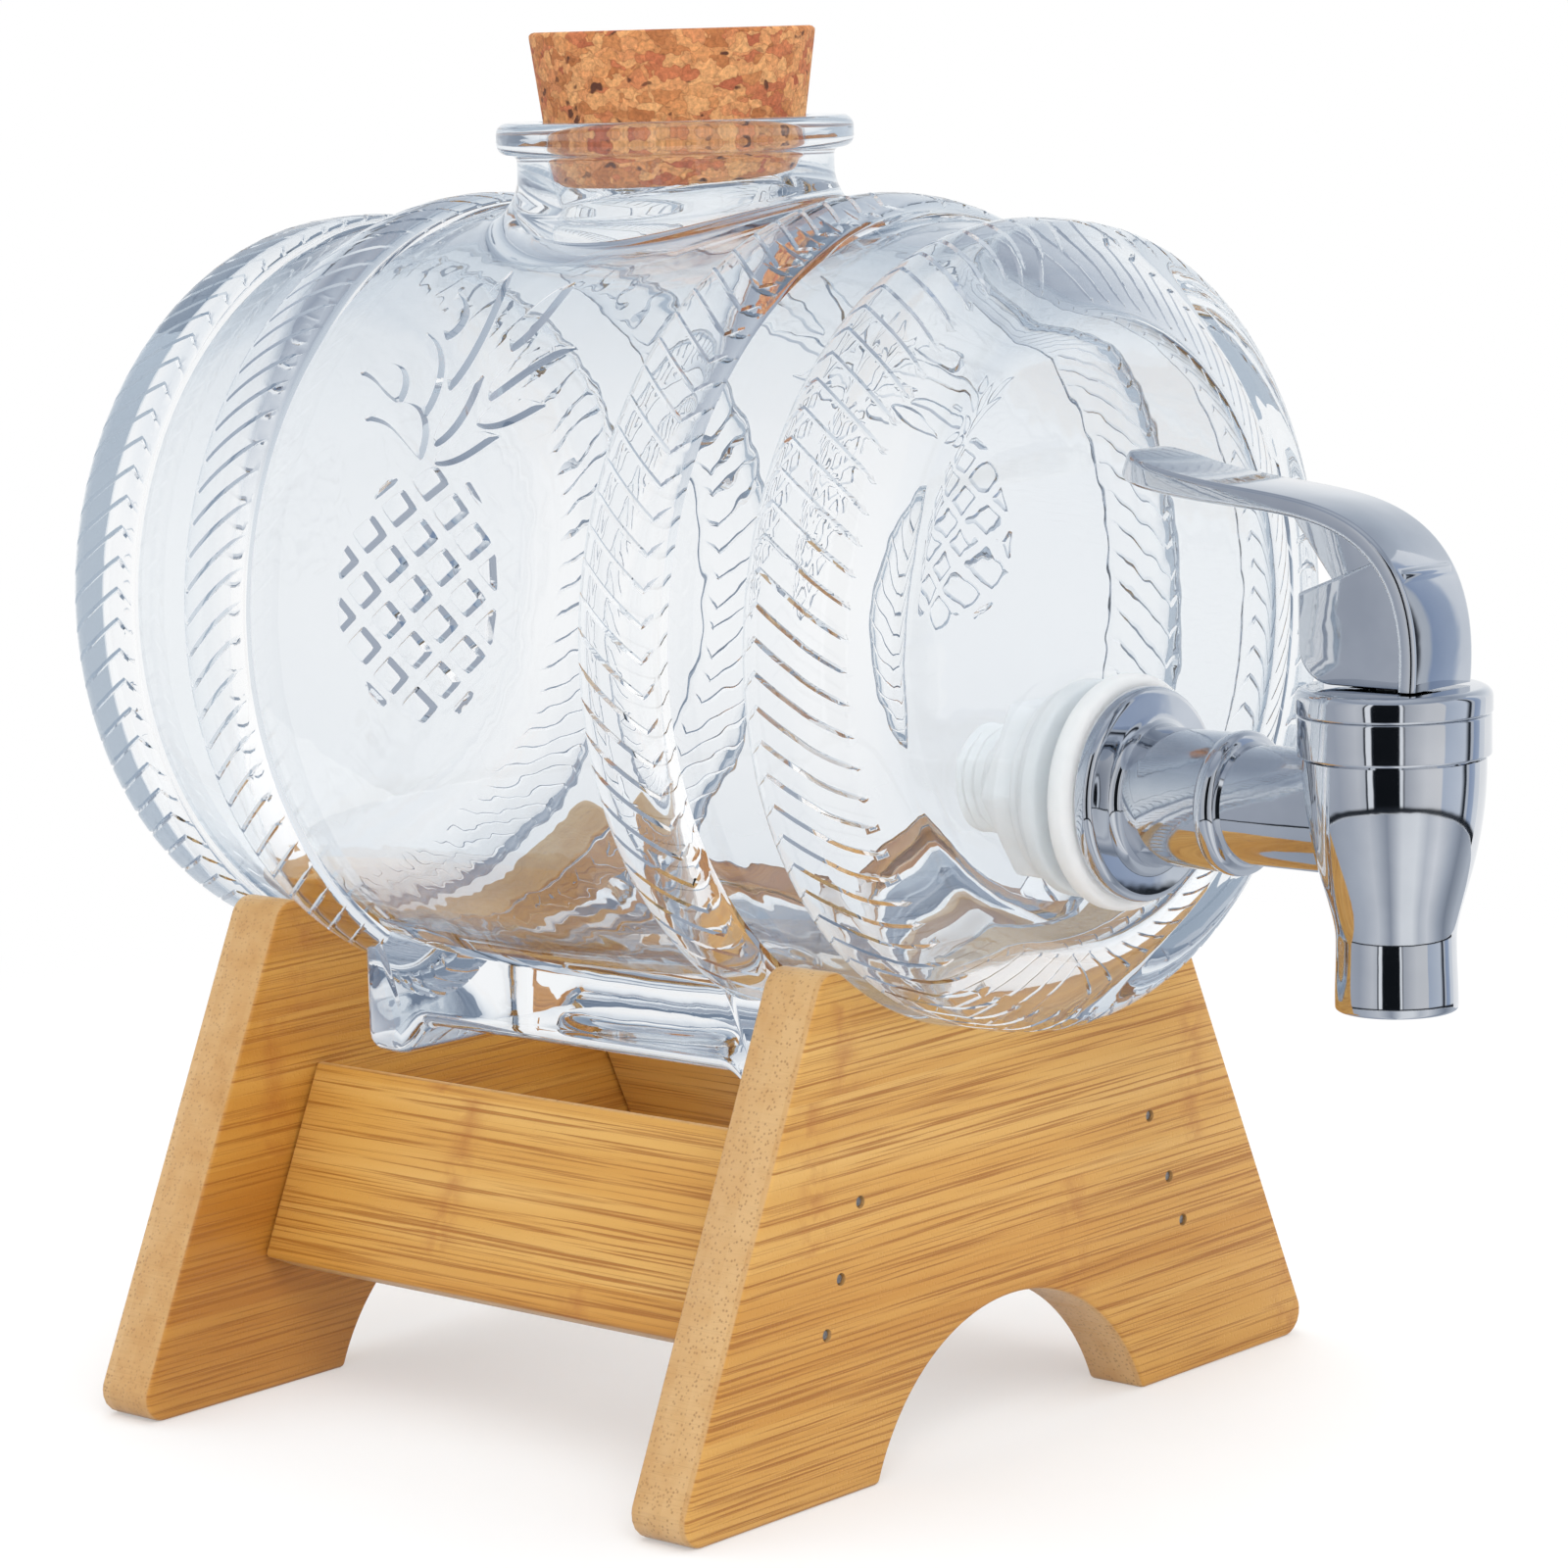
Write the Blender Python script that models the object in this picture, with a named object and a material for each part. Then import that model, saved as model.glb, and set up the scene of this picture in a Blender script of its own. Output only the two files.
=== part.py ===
"""Glass barrel drink dispenser on a bamboo stand, with a cork and a lever tap.

The barrel lies on its side along Y, with its tapped head towards -Y. X runs across the
stand and Z points up from the surface that it stands on. The origin is under the middle
of the whole object. All lengths are in metres.
"""

import math

import bmesh
import bpy
from mathutils import Matrix, Vector

# Gaps and overruns that all pieces share
seat_gap = 0.0003
cut_overrun = 0.004
merge_distance = 0.000002

# Pressed glass barrel: a belly that narrows to the heads, with two raised hoops at each end
belly_radius = 0.058
barrel_half_length = 0.0772
barrel_narrowing = 0.0065
glass_wall = 0.0042
head_wall = 0.0046
shoulder_width = 0.013
inner_corner_radius = 0.011
inner_hoop_inset = 0.0379
inner_hoop_width = 0.0144
inner_hoop_height = 0.0028
outer_hoop_start_inset = 0.0185
outer_hoop_crest_inset = 0.0090
outer_hoop_height = 0.0025
hoop_roundness = 0.6
inner_hoop_shares = (-1.0, -0.9, -0.55, 0.0, 0.55, 0.9, 1.0)
outer_hoop_shares = (1.0, 0.93, 0.7, 0.35, 0.0)
cavity_shares = (0.0, 0.35, 0.7)

# Neck with its flat lip, on top of the belly
neck_radius = 0.0228
neck_fillet = 0.0065
neck_rise = 0.0071
lip_radius = 0.0257
lip_height = 0.0046
lip_rounding = 0.0014

# Foot moulded under the belly: a block that is arched below between two pads
foot_half_width = 0.032
foot_inset = 0.0052
foot_forward = 0.0035
foot_proud = 0.0077
foot_rounding = 0.0030
foot_pad_length = 0.0059
foot_arch_run = 0.0080
foot_arch_rise = 0.0049
foot_arch_steps = 5
recess_half_length = 0.018
recess_half_width = 0.011
recess_depth = 0.0026

# Tapered cork
cork_height = 0.0255
cork_depth = 0.0128
cork_bottom_radius = 0.0171
cork_top_radius = 0.0206
cork_rounding = 0.0008

# Stand: two end panels with a cradle and an arch, and two rails between them
panel_thickness = 0.010
panel_base_width = 0.1433
panel_side_angle = math.radians(24.2)
panel_rounding = 0.0036
panel_edge_rounding = 0.0006
barrel_axis_height = 0.1156
arch_width = 0.0598
arch_height = 0.0205
rail_height = 0.030
rail_thickness = 0.008
rail_inset = 0.0151
rail_below_belly = 0.0371
rail_edge_rounding = 0.0005
brad_radius = 0.0006
brad_length = 0.025
brad_set_depth = 0.0004
brad_shares = (0.16, 0.42, 0.78)

# Tap: its hole in the head, the shank with flange and thread, and the spout
tap_edge_distance = 0.0232
tap_reach = 0.0458
thread_radius = 0.0077
thread_length = 0.0205
flange_radius = 0.0147
flange_thickness = 0.0024
flange_rounding = 0.0009
collar_radius = 0.0112
shank_root_radius = 0.0094
shank_root_length = 0.0148
bead_radius = 0.0098
bead_width = 0.0030
shank_radius = 0.0081
shank_bore_radius = 0.0042
spout_shoulder_radius = 0.0120
spout_waist_radius = 0.0079
spout_mouth_radius = 0.0081
spout_shoulder_rise = 0.0081
spout_waist_drop = 0.0158
spout_mouth_drop = 0.0252
spout_waist_pull_share = 0.72
spout_shoulder_pull_share = 0.30
spout_neck_radius = 0.0106
spout_neck_height = 0.0066
chamber_radius = 0.0082
seat_drop = 0.0062
seat_chamfer = 0.0010
outlet_radius = 0.0052
outlet_mouth_radius = 0.0064

# Washers and nut that clamp the shank to the glass
washer_radius = 0.0162
washer_thickness = 0.0038
washer_rounding = 0.0012
bush_wall = 0.0009
inner_washer_radius = 0.0150
inner_washer_thickness = 0.0030
nut_across_flats = 0.0240
nut_height = 0.0068
nut_flange_radius = 0.0138
nut_flange_thickness = 0.0018

# Screw cap of the tap
cap_radius = 0.01285
cap_height = 0.0090
cap_roof = 0.0017
cap_rounding = 0.0013
cap_groove_share = 0.62
cap_groove_depth = 0.0003
cap_skirt_inset = 0.0002

# Valve: plug, stem, spring and cross pin
plug_radius = 0.0070
plug_height = 0.0038
plug_nose_height = 0.0022
plug_nose_share = 0.6
plug_socket_depth = 0.0028
stem_radius = 0.0023
stem_foot_radius = 0.0034
stem_foot_height = 0.0016
stem_disc_radius = 0.0068
stem_disc_height = 0.0010
stem_eye_width = 0.0044
stem_cover = 0.0026
stem_crown_radius = 0.0016
stem_crown_height = 0.0012
spring_radius = 0.0046
spring_wire = 0.0008
spring_turns = 5
pin_radius = 0.0010
pin_length = 0.0086
pin_height = 0.0078

# Lever: a strap that rises at the front and runs back over the cap
lever_width = 0.0140
lever_thickness = 0.0026
lever_tip_thickness = 0.0040
lever_edge = 0.0007
lever_front = 0.0076
lever_back = 0.0405
lever_shoulder_back = 0.0090
lever_shoulder_height = 0.0242
lever_tip_height = 0.0302
strap_foot_pull_share = 0.52
strap_shoulder_front_share = 0.6
strap_shoulder_pull_share = 0.89
grip_front_place_share = 0.30
grip_front_height_share = 1.08
grip_back_place_share = 0.66
grip_back_height_share = 1.06
tip_width_share = 0.55
strap_steps = 9
hub_width = 0.0112
hub_front = 0.0056
hub_back = 0.0112
hub_back_height = 0.0121
hub_top_height = 0.0172
hub_crest_share = 0.35
hub_front_height_share = 0.9
heel_radius = 0.0050
gusset_thickness = 0.0020
gusset_front = 0.0045
gusset_foot = 0.0080
gusset_reach = 0.0172
slot_front = 0.0031
slot_back = 0.0054

# Facet counts
barrel_facets = 46
neck_facets = 40
tap_facets = 28
small_facets = 20
brad_facets = 8

# Places that follow from the sizes above
inner_hoop_place = barrel_half_length - inner_hoop_inset
outer_hoop_start = barrel_half_length - outer_hoop_start_inset
outer_hoop_crest = barrel_half_length - outer_hoop_crest_inset
head_flat_radius = belly_radius - shoulder_width
neck_height = belly_radius + neck_rise
foot_drop = belly_radius + foot_proud
foot_arch_drop = foot_drop - foot_arch_rise
band_start = inner_hoop_place + inner_hoop_width / 2
panel_place = (band_start + outer_hoop_start) / 2
panel_inner_face = panel_place - panel_thickness / 2
panel_outer_face = panel_place + panel_thickness / 2
foot_half_length = panel_inner_face - foot_inset
rail_rise = barrel_axis_height - belly_radius - rail_below_belly
tap_below_axis = head_flat_radius - tap_edge_distance
spout_place = -(barrel_half_length + tap_reach)
front_reach = -spout_place + cap_radius
stand_centre = (front_reach - barrel_half_length) / 2
tap_height = barrel_axis_height - tap_below_axis
lip_top = barrel_axis_height + neck_height + lip_height
cap_top = tap_height + spout_shoulder_rise + seat_gap + cap_height
pin_place = cap_top + pin_height
seat_height = tap_height - seat_drop
glass_hole_radius = thread_radius + seat_gap + bush_wall + seat_gap


def clear_scene():
    """Remove every object that the file already holds."""
    for old in list(bpy.data.objects):
        bpy.data.objects.remove(old, do_unlink=True)


def material(name, colour, roughness, metallic=0.0, transmission=0.0, ior=1.45):
    """Return a Principled material."""
    made = bpy.data.materials.new(name)
    made.use_nodes = True
    shader = made.node_tree.nodes["Principled BSDF"]
    shader.inputs["Base Color"].default_value = (*colour, 1.0)
    shader.inputs["Roughness"].default_value = roughness
    shader.inputs["Metallic"].default_value = metallic
    shader.inputs["Transmission Weight"].default_value = transmission
    shader.inputs["IOR"].default_value = ior
    made.diffuse_color = (*colour, 1.0)
    return made


def new_object(name, shape, finish, parent, place=(0, 0, 0), turn=(0, 0, 0)):
    """Put a bmesh into a named object under its parent, and free the bmesh."""
    bmesh.ops.remove_doubles(shape, verts=shape.verts[:], dist=merge_distance)
    bmesh.ops.recalc_face_normals(shape, faces=shape.faces[:])
    mesh = bpy.data.meshes.new(name)
    shape.to_mesh(mesh)
    shape.free()
    mesh.materials.append(finish)
    mesh.shade_smooth()
    mesh.set_sharp_from_angle(angle=math.radians(32))
    made = bpy.data.objects.new(name, mesh)
    bpy.context.scene.collection.objects.link(made)
    made.parent = parent
    made.location = place
    made.rotation_euler = turn
    return made


def empty(name, parent, place):
    """Return an empty that carries a group of pieces or marks a joint."""
    made = bpy.data.objects.new(name, None)
    bpy.context.scene.collection.objects.link(made)
    made.empty_display_size = glass_wall
    made.parent = parent
    made.location = place
    return made


def turned(outline, facets, ring=False):
    """Turn an outline of (radius, height) points about Z. A ring's outline closes on itself."""
    shape = bmesh.new()
    points = [shape.verts.new((radius, 0, height)) for radius, height in outline]
    pairs = list(zip(points, points[1:]))
    if ring:
        pairs.append((points[-1], points[0]))
    edges = [shape.edges.new(pair) for pair in pairs]
    bmesh.ops.spin(
        shape,
        geom=points + edges,
        cent=(0, 0, 0),
        axis=(0, 0, 1),
        angle=math.tau,
        steps=facets,
        use_merge=True,
    )
    return shape


def extruded(outline, depth, to_point):
    """Extrude a flat outline by depth. to_point(a, b, c) places outline point a, b at depth c."""
    shape = bmesh.new()
    near = [shape.verts.new(to_point(a, b, -depth / 2)) for a, b in outline]
    far = [shape.verts.new(to_point(a, b, depth / 2)) for a, b in outline]
    shape.faces.new(near)
    shape.faces.new(far[::-1])
    count = len(outline)
    for index in range(count):
        after = (index + 1) % count
        shape.faces.new((near[after], near[index], far[index], far[after]))
    return shape


def lofted(sections):
    """Join equal closed sections one after another and cap both ends."""
    shape = bmesh.new()
    rings = [[shape.verts.new(point) for point in section] for section in sections]
    for low, high in zip(rings, rings[1:]):
        count = len(low)
        for index in range(count):
            after = (index + 1) % count
            shape.faces.new((low[index], low[after], high[after], high[index]))
    shape.faces.new(rings[0][::-1])
    shape.faces.new(rings[-1])
    return shape


def side_plane(a, b, c):
    """Outline in the YZ plane, depth along X."""
    return (c, a, b)


def front_plane(a, b, c):
    """Outline in the XZ plane, depth along Y."""
    return (a, c, b)


def floor_plane(a, b, c):
    """Outline in the XY plane, depth along Z."""
    return (a, b, c)


def boolean(target, tool, operation):
    """Cut, join or intersect target with a tool that stays out of the model itself."""
    step = target.modifiers.new(tool.name, "BOOLEAN")
    step.operation = operation
    step.object = tool
    tool.hide_render = True
    tool.display_type = "WIRE"


def bevel(target, width, segments=1, angle=math.radians(30)):
    """Round the edges that are sharper than angle."""
    step = target.modifiers.new("rounded_edges", "BEVEL")
    step.width = width
    step.segments = segments
    step.limit_method = "ANGLE"
    step.angle_limit = angle


def arc(centre, radius, start, end, steps):
    """Points on an arc of a circle, both ends included."""
    angles = [start + (end - start) * index / steps for index in range(steps + 1)]
    return [
        (centre[0] + radius * math.cos(angle), centre[1] + radius * math.sin(angle))
        for angle in angles
    ]


def bezier(start, start_pull, end_pull, end, steps):
    """Points on a cubic curve, both ends included."""
    points = []
    for index in range(steps + 1):
        t = index / steps
        weights = ((1 - t) ** 3, 3 * t * (1 - t) ** 2, 3 * t * t * (1 - t), t**3)
        controls = (start, start_pull, end_pull, end)
        points.append(
            tuple(sum(w * c[side] for w, c in zip(weights, controls)) for side in (0, 1))
        )
    return points


def rounded_corner(before, corner, after, radius, steps):
    """Points of a round that replaces the corner between two straight edges."""
    corner = Vector(corner)
    back = (Vector(before) - corner).normalized()
    ahead = (Vector(after) - corner).normalized()
    half_angle = back.angle(ahead) / 2
    centre = corner + (back + ahead).normalized() * (radius / math.sin(half_angle))
    first = corner + back * (radius / math.tan(half_angle)) - centre
    last = corner + ahead * (radius / math.tan(half_angle)) - centre
    points = []
    for index in range(steps + 1):
        share = index / steps
        spoke = first.lerp(last, share).normalized() * radius
        points.append(tuple(centre + spoke))
    return points


def belly_line(along):
    """Outer radius of the glass without its hoops, at a distance from the middle."""
    share = along / barrel_half_length
    return belly_radius - barrel_narrowing * share * share


def hoop_swell(share):
    """Height of a hoop's round back, from 0 at its edge (share 1) to 1 at its crest."""
    return max(0.0, 1.0 - share * share) ** hoop_roundness


def barrel_outline():
    """Half of the glass's outer outline, from the middle of the belly to the head's centre."""
    points = [(belly_line(0), 0), (belly_line(inner_hoop_place / 2), inner_hoop_place / 2)]
    half = inner_hoop_width / 2
    for share in inner_hoop_shares:
        along = inner_hoop_place + half * share
        points.append((belly_line(along) + inner_hoop_height * hoop_swell(share), along))
    run = outer_hoop_crest - outer_hoop_start
    for share in outer_hoop_shares:
        along = outer_hoop_crest - run * share
        points.append((belly_line(along) + outer_hoop_height * hoop_swell(share), along))
    crest_radius = points[-1][0]
    shoulder_run = barrel_half_length - outer_hoop_crest
    shoulder_fall = crest_radius - head_flat_radius
    for step in range(1, 6):
        angle = math.pi / 2 * step / 5
        radius = crest_radius - shoulder_fall * (1 - math.cos(angle))
        points.append((radius, outer_hoop_crest + shoulder_run * math.sin(angle)))
    points.append((0, barrel_half_length))
    return points


def cavity_outline():
    """Half of the glass's inner outline, from the middle of the belly to the head's centre."""
    end = barrel_half_length - head_wall
    corner_start = end - inner_corner_radius
    points = [
        (belly_line(share * corner_start) - glass_wall, share * corner_start)
        for share in cavity_shares
    ]
    wall_radius = belly_line(corner_start) - glass_wall
    centre = (wall_radius - inner_corner_radius, corner_start)
    points += arc(centre, inner_corner_radius, 0, math.pi / 2, 4)
    points.append((0, end))
    return points


def both_ways(half):
    """Mirror a half outline about height 0, for a shape with two equal ends."""
    return [(radius, -height) for radius, height in half[:0:-1]] + half


def neck_outline():
    """Outer outline of neck and lip above the barrel's axis, with the fillet into the belly."""
    fillet_centre_radius = neck_radius + neck_fillet
    belly_height = math.sqrt(belly_radius**2 - fillet_centre_radius**2)
    fillet_centre = (fillet_centre_radius, belly_height + neck_fillet)
    root = (fillet_centre_radius, belly_height - glass_wall / 2)
    points = [(0, root[1]), root]
    points += arc(fillet_centre, neck_fillet, math.radians(270), math.radians(180), 5)
    under_lip = neck_height
    top = neck_height + lip_height
    edge = lip_radius - lip_rounding
    points.append((neck_radius, under_lip))
    points += arc((edge, under_lip + lip_rounding), lip_rounding, -math.pi / 2, 0, 2)
    points += arc((edge, top - lip_rounding), lip_rounding, 0, math.pi / 2, 3)
    points.append((0, top))
    return points


def bore_outline():
    """Hollow of the neck: the cork's taper with its clearance, then straight to the cavity."""
    top = neck_height + lip_height
    taper = (cork_top_radius - cork_bottom_radius) / cork_height
    cork_bottom = top - cork_depth
    low_radius = cork_bottom_radius + seat_gap
    mouth_radius = low_radius + taper * cork_depth
    start = belly_radius - glass_wall - cork_depth
    return [
        (0, start),
        (low_radius, start),
        (low_radius, cork_bottom),
        (mouth_radius, top),
        (mouth_radius + taper * cut_overrun, top + cut_overrun),
        (0, top + cut_overrun),
    ]


def foot_outline():
    """Side outline of the glass foot: two pads with an arch between them, up into the belly."""
    inside = belly_radius - glass_wall * 2
    pad_end = foot_half_length - foot_pad_length
    flat_end = pad_end - foot_arch_run
    right = [(foot_half_length, -inside / 2), (foot_half_length, -foot_drop)]
    for step in range(foot_arch_steps + 1):
        share = step / foot_arch_steps
        ease = share * share * (3 - share * 2)
        place = pad_end + (flat_end - pad_end) * share
        right.append((place, -foot_drop + foot_arch_rise * ease))
    left = [(-along, height) for along, height in reversed(right)]
    return right + left


def glass_foot(glass, finish, parent):
    """Join the moulded foot to the barrel, with a shallow recess in its arch."""
    shape = extruded(foot_outline(), foot_half_width * 2, side_plane)
    foot = new_object("moulded_foot", shape, finish, parent, (0, -foot_forward, 0))
    bevel(foot, foot_rounding, 2)
    boolean(glass, foot, "UNION")
    shape = turned(
        [(0, -cut_overrun), (1, -cut_overrun), (1, recess_depth), (0, recess_depth)],
        small_facets,
    )
    place = (0, -foot_forward, -foot_arch_drop)
    recess = new_object("foot_recess_cut", shape, finish, parent, place)
    recess.scale = (recess_half_width, recess_half_length, 1)
    boolean(glass, recess, "DIFFERENCE")


def glass_barrel(finish, parent):
    """One pressed glass body: barrel, neck, lip and foot, hollow, with a hole for the tap."""
    along_y = (-math.pi / 2, 0, 0)
    shape = turned(both_ways(barrel_outline()), barrel_facets)
    glass = new_object("glass_barrel", shape, finish, parent, (0, 0, 0), along_y)
    neck = new_object("neck_form", turned(neck_outline(), neck_facets), finish, parent)
    boolean(glass, neck, "UNION")
    glass_foot(glass, finish, parent)
    shape = turned(both_ways(cavity_outline()), barrel_facets)
    cavity = new_object("cavity_cut", shape, finish, parent, (0, 0, 0), along_y)
    boolean(glass, cavity, "DIFFERENCE")
    bore = new_object("neck_bore_cut", turned(bore_outline(), neck_facets), finish, parent)
    boolean(glass, bore, "DIFFERENCE")
    depth = head_wall + cut_overrun
    shape = turned(
        [(0, -depth), (glass_hole_radius, -depth), (glass_hole_radius, depth), (0, depth)],
        tap_facets,
    )
    place = (0, -barrel_half_length, -tap_below_axis)
    hole = new_object("tap_hole_cut", shape, finish, parent, place, along_y)
    boolean(glass, hole, "DIFFERENCE")
    return glass


def cork_stopper(finish, parent):
    """Tapered cork with its origin on its own underside."""
    taper = (cork_top_radius - cork_bottom_radius) / cork_height
    low = cork_bottom_radius
    high = cork_top_radius
    shape = turned(
        [
            (0, 0),
            (low - cork_rounding, 0),
            (low + taper * cork_rounding, cork_rounding),
            (high - taper * cork_rounding, cork_height - cork_rounding),
            (high - cork_rounding, cork_height),
            (0, cork_height),
        ],
        neck_facets,
    )
    return new_object("cork_stopper", shape, finish, parent)


def panel_outline():
    """Front outline of an end panel: base, sloped side, horn, cradle, and arch below."""
    tilt = math.tan(panel_side_angle)
    half_base = panel_base_width / 2
    cradle_radius = belly_line(panel_inner_face) + seat_gap
    horn = panel_rounding
    cradle_centre = Vector((0, barrel_axis_height))
    outward = Vector((math.cos(panel_side_angle), math.sin(panel_side_angle)))
    upward = Vector((-math.sin(panel_side_angle), math.cos(panel_side_angle)))
    line_start = Vector((half_base, 0)) - outward * horn
    from_centre = line_start - cradle_centre
    middle = from_centre.dot(upward)
    reach = cradle_radius + horn
    run = -middle - math.sqrt(middle**2 - from_centre.length_squared + reach**2)
    horn_centre = line_start + upward * run
    inward = (cradle_centre - horn_centre).normalized()
    start_angle = math.atan2(outward.y, outward.x)
    end_angle = math.atan2(inward.y, inward.x)
    low_angle = math.atan2(-inward.y, -inward.x)
    arch_radius = (arch_width**2 / 4 + arch_height**2) / (2 * arch_height)
    arch_centre = (0, arch_height - arch_radius)
    arch_angle = math.atan2(-arch_centre[1], arch_width / 2)

    side_top = (half_base - tilt * barrel_axis_height, barrel_axis_height)
    right = rounded_corner(
        (arch_width / 2, 0), (half_base, 0), side_top, panel_rounding, 3
    )
    right += arc(tuple(horn_centre), horn, start_angle, end_angle, 4)
    left = [(-x, z) for x, z in reversed(right)]
    cradle = arc(
        tuple(cradle_centre), cradle_radius, low_angle, -math.pi - low_angle, 18
    )[1:-1]
    arch = arc(arch_centre, arch_radius, math.pi - arch_angle, arch_angle, 12)
    return right + cradle + left + arch


def brad_places(side):
    """Places across and up of the brads that hold one end of a rail."""
    corner, outward, upward = rail_frame(side)
    return [
        corner - outward * (rail_thickness / 2) + upward * (rail_height * share)
        for share in brad_shares
    ]


def rail_frame(side):
    """Lower outer corner of a rail in the XZ plane, with its outward and upward directions."""
    outward = Vector((side * math.cos(panel_side_angle), math.sin(panel_side_angle)))
    upward = Vector((-side * math.sin(panel_side_angle), math.cos(panel_side_angle)))
    base = Vector((side * panel_base_width / 2, 0)) - outward * rail_inset
    rise = rail_rise - base.y
    return base + upward * (rise / upward.y), outward, upward


def brad_hole_cut(name, side, finish, parent, place, length):
    """A cutter with one hole for each brad at one end of a rail."""
    shape = bmesh.new()
    for spot in brad_places(side):
        hole = bmesh.ops.create_cone(
            shape,
            cap_ends=True,
            segments=brad_facets,
            radius1=brad_radius + seat_gap,
            radius2=brad_radius + seat_gap,
            depth=length,
        )
        turn = Matrix.Rotation(math.pi / 2, 4, "X")
        bmesh.ops.transform(shape, matrix=turn, verts=hole["verts"])
        bmesh.ops.translate(shape, vec=(spot.x, 0, spot.y), verts=hole["verts"])
    return new_object(name, shape, finish, parent, (0, place, 0))


def end_panel(name, end, finish, parent):
    """One end panel. end is -1 at the front and 1 at the rear."""
    shape = extruded(panel_outline(), panel_thickness, front_plane)
    panel = new_object(name, shape, finish, parent, (0, end * panel_place, 0))
    bevel(panel, panel_edge_rounding)
    for side, word in ((-1, "left"), (1, "right")):
        length = panel_thickness + cut_overrun * 2
        cutter = brad_hole_cut(
            f"{name}_{word}_brad_cut", side, finish, parent, end * panel_place, length
        )
        boolean(panel, cutter, "DIFFERENCE")
    return panel


def rail(name, side, finish, parent):
    """A board between the panels, parallel to their sloped sides."""
    corner, outward, upward = rail_frame(side)
    length = panel_inner_face * 2 - seat_gap * 2
    middle = corner - outward * (rail_thickness / 2) + upward * (rail_height / 2)
    half_thick = rail_thickness / 2
    half_high = rail_height / 2
    shape = extruded(
        [
            (-half_thick, -half_high),
            (half_thick, -half_high),
            (half_thick, half_high),
            (-half_thick, half_high),
        ],
        length,
        front_plane,
    )
    turn = (0, -side * panel_side_angle, 0)
    board = new_object(name, shape, finish, parent, (middle.x, 0, middle.y), turn)
    bevel(board, rail_edge_rounding)
    for end, word in ((-1, "front"), (1, "rear")):
        place = end * (panel_outer_face - brad_set_depth - brad_length / 2)
        cutter = brad_hole_cut(
            f"{name}_{word}_brad_cut", side, finish, parent, place, brad_length + seat_gap * 2
        )
        boolean(board, cutter, "DIFFERENCE")
    return board


def brads(finish, parent):
    """Steel brads through each panel into the rails, set just below the panel's face."""
    along_y = (-math.pi / 2, 0, 0)
    place = panel_outer_face - brad_set_depth - brad_length / 2
    for end, end_word in ((-1, "front"), (1, "rear")):
        for side, side_word in ((-1, "left"), (1, "right")):
            for number, spot in enumerate(brad_places(side), start=1):
                shape = bmesh.new()
                bmesh.ops.create_cone(
                    shape,
                    cap_ends=True,
                    segments=brad_facets,
                    radius1=brad_radius,
                    radius2=brad_radius,
                    depth=brad_length,
                )
                name = f"{end_word}_{side_word}_brad_{number}"
                new_object(name, shape, finish, parent, (spot.x, end * place, spot.y), along_y)


def spout_outline():
    """Outer outline of the spout about its own axis, from its mouth to the cap's neck."""
    lower = bezier(
        (spout_waist_radius, -spout_waist_drop),
        (spout_waist_radius, -spout_waist_drop * spout_waist_pull_share),
        (spout_shoulder_radius, -spout_waist_drop * spout_shoulder_pull_share),
        (spout_shoulder_radius, spout_shoulder_rise),
        8,
    )
    tail = bezier(
        (spout_mouth_radius, -spout_mouth_drop),
        (spout_mouth_radius, -(spout_mouth_drop + spout_waist_drop) / 2),
        (spout_waist_radius, -(spout_mouth_drop + spout_waist_drop) / 2),
        (spout_waist_radius, -spout_waist_drop),
        3,
    )
    neck_top = spout_shoulder_rise + spout_neck_height
    points = [(0, -spout_mouth_drop)] + tail + lower[1:]
    points += [(spout_neck_radius, spout_shoulder_rise), (spout_neck_radius, neck_top)]
    return points + [(0, neck_top)]


def shank_outline():
    """Outer outline of the shank about its axis, from inside the spout to the thread's end."""
    glass_face = tap_reach
    flange_back = glass_face - seat_gap - washer_thickness - seat_gap
    flange_front = flange_back - flange_thickness
    bead_middle = flange_front - shank_root_length
    bead_half = bead_width / 2
    flare = collar_radius - shank_root_radius
    points = [(0, 0), (shank_radius, 0), (shank_radius, bead_middle - bead_half)]
    bead_rise = bead_radius - shank_radius
    for angle in (math.pi / 5, math.pi / 2):
        radius = shank_radius + bead_rise * math.sin(angle)
        points.append((radius, bead_middle - bead_half * math.cos(angle)))
    points.append((shank_root_radius, bead_middle + bead_half))
    points.append((shank_root_radius, flange_front - flare * 2))
    points += arc((collar_radius, flange_front - flare), flare, math.pi, math.pi / 2, 3)[1:]
    points.append((flange_radius - flange_rounding, flange_front))
    points += arc(
        (flange_radius - flange_rounding, flange_front + flange_rounding),
        flange_rounding,
        -math.pi / 2,
        0,
        2,
    )[1:]
    points.append((flange_radius, flange_back))
    points.append((thread_radius, flange_back))
    thread_end = flange_back + washer_thickness + head_wall + thread_length
    points += [(thread_radius, thread_end), (0, thread_end)]
    return points


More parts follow.
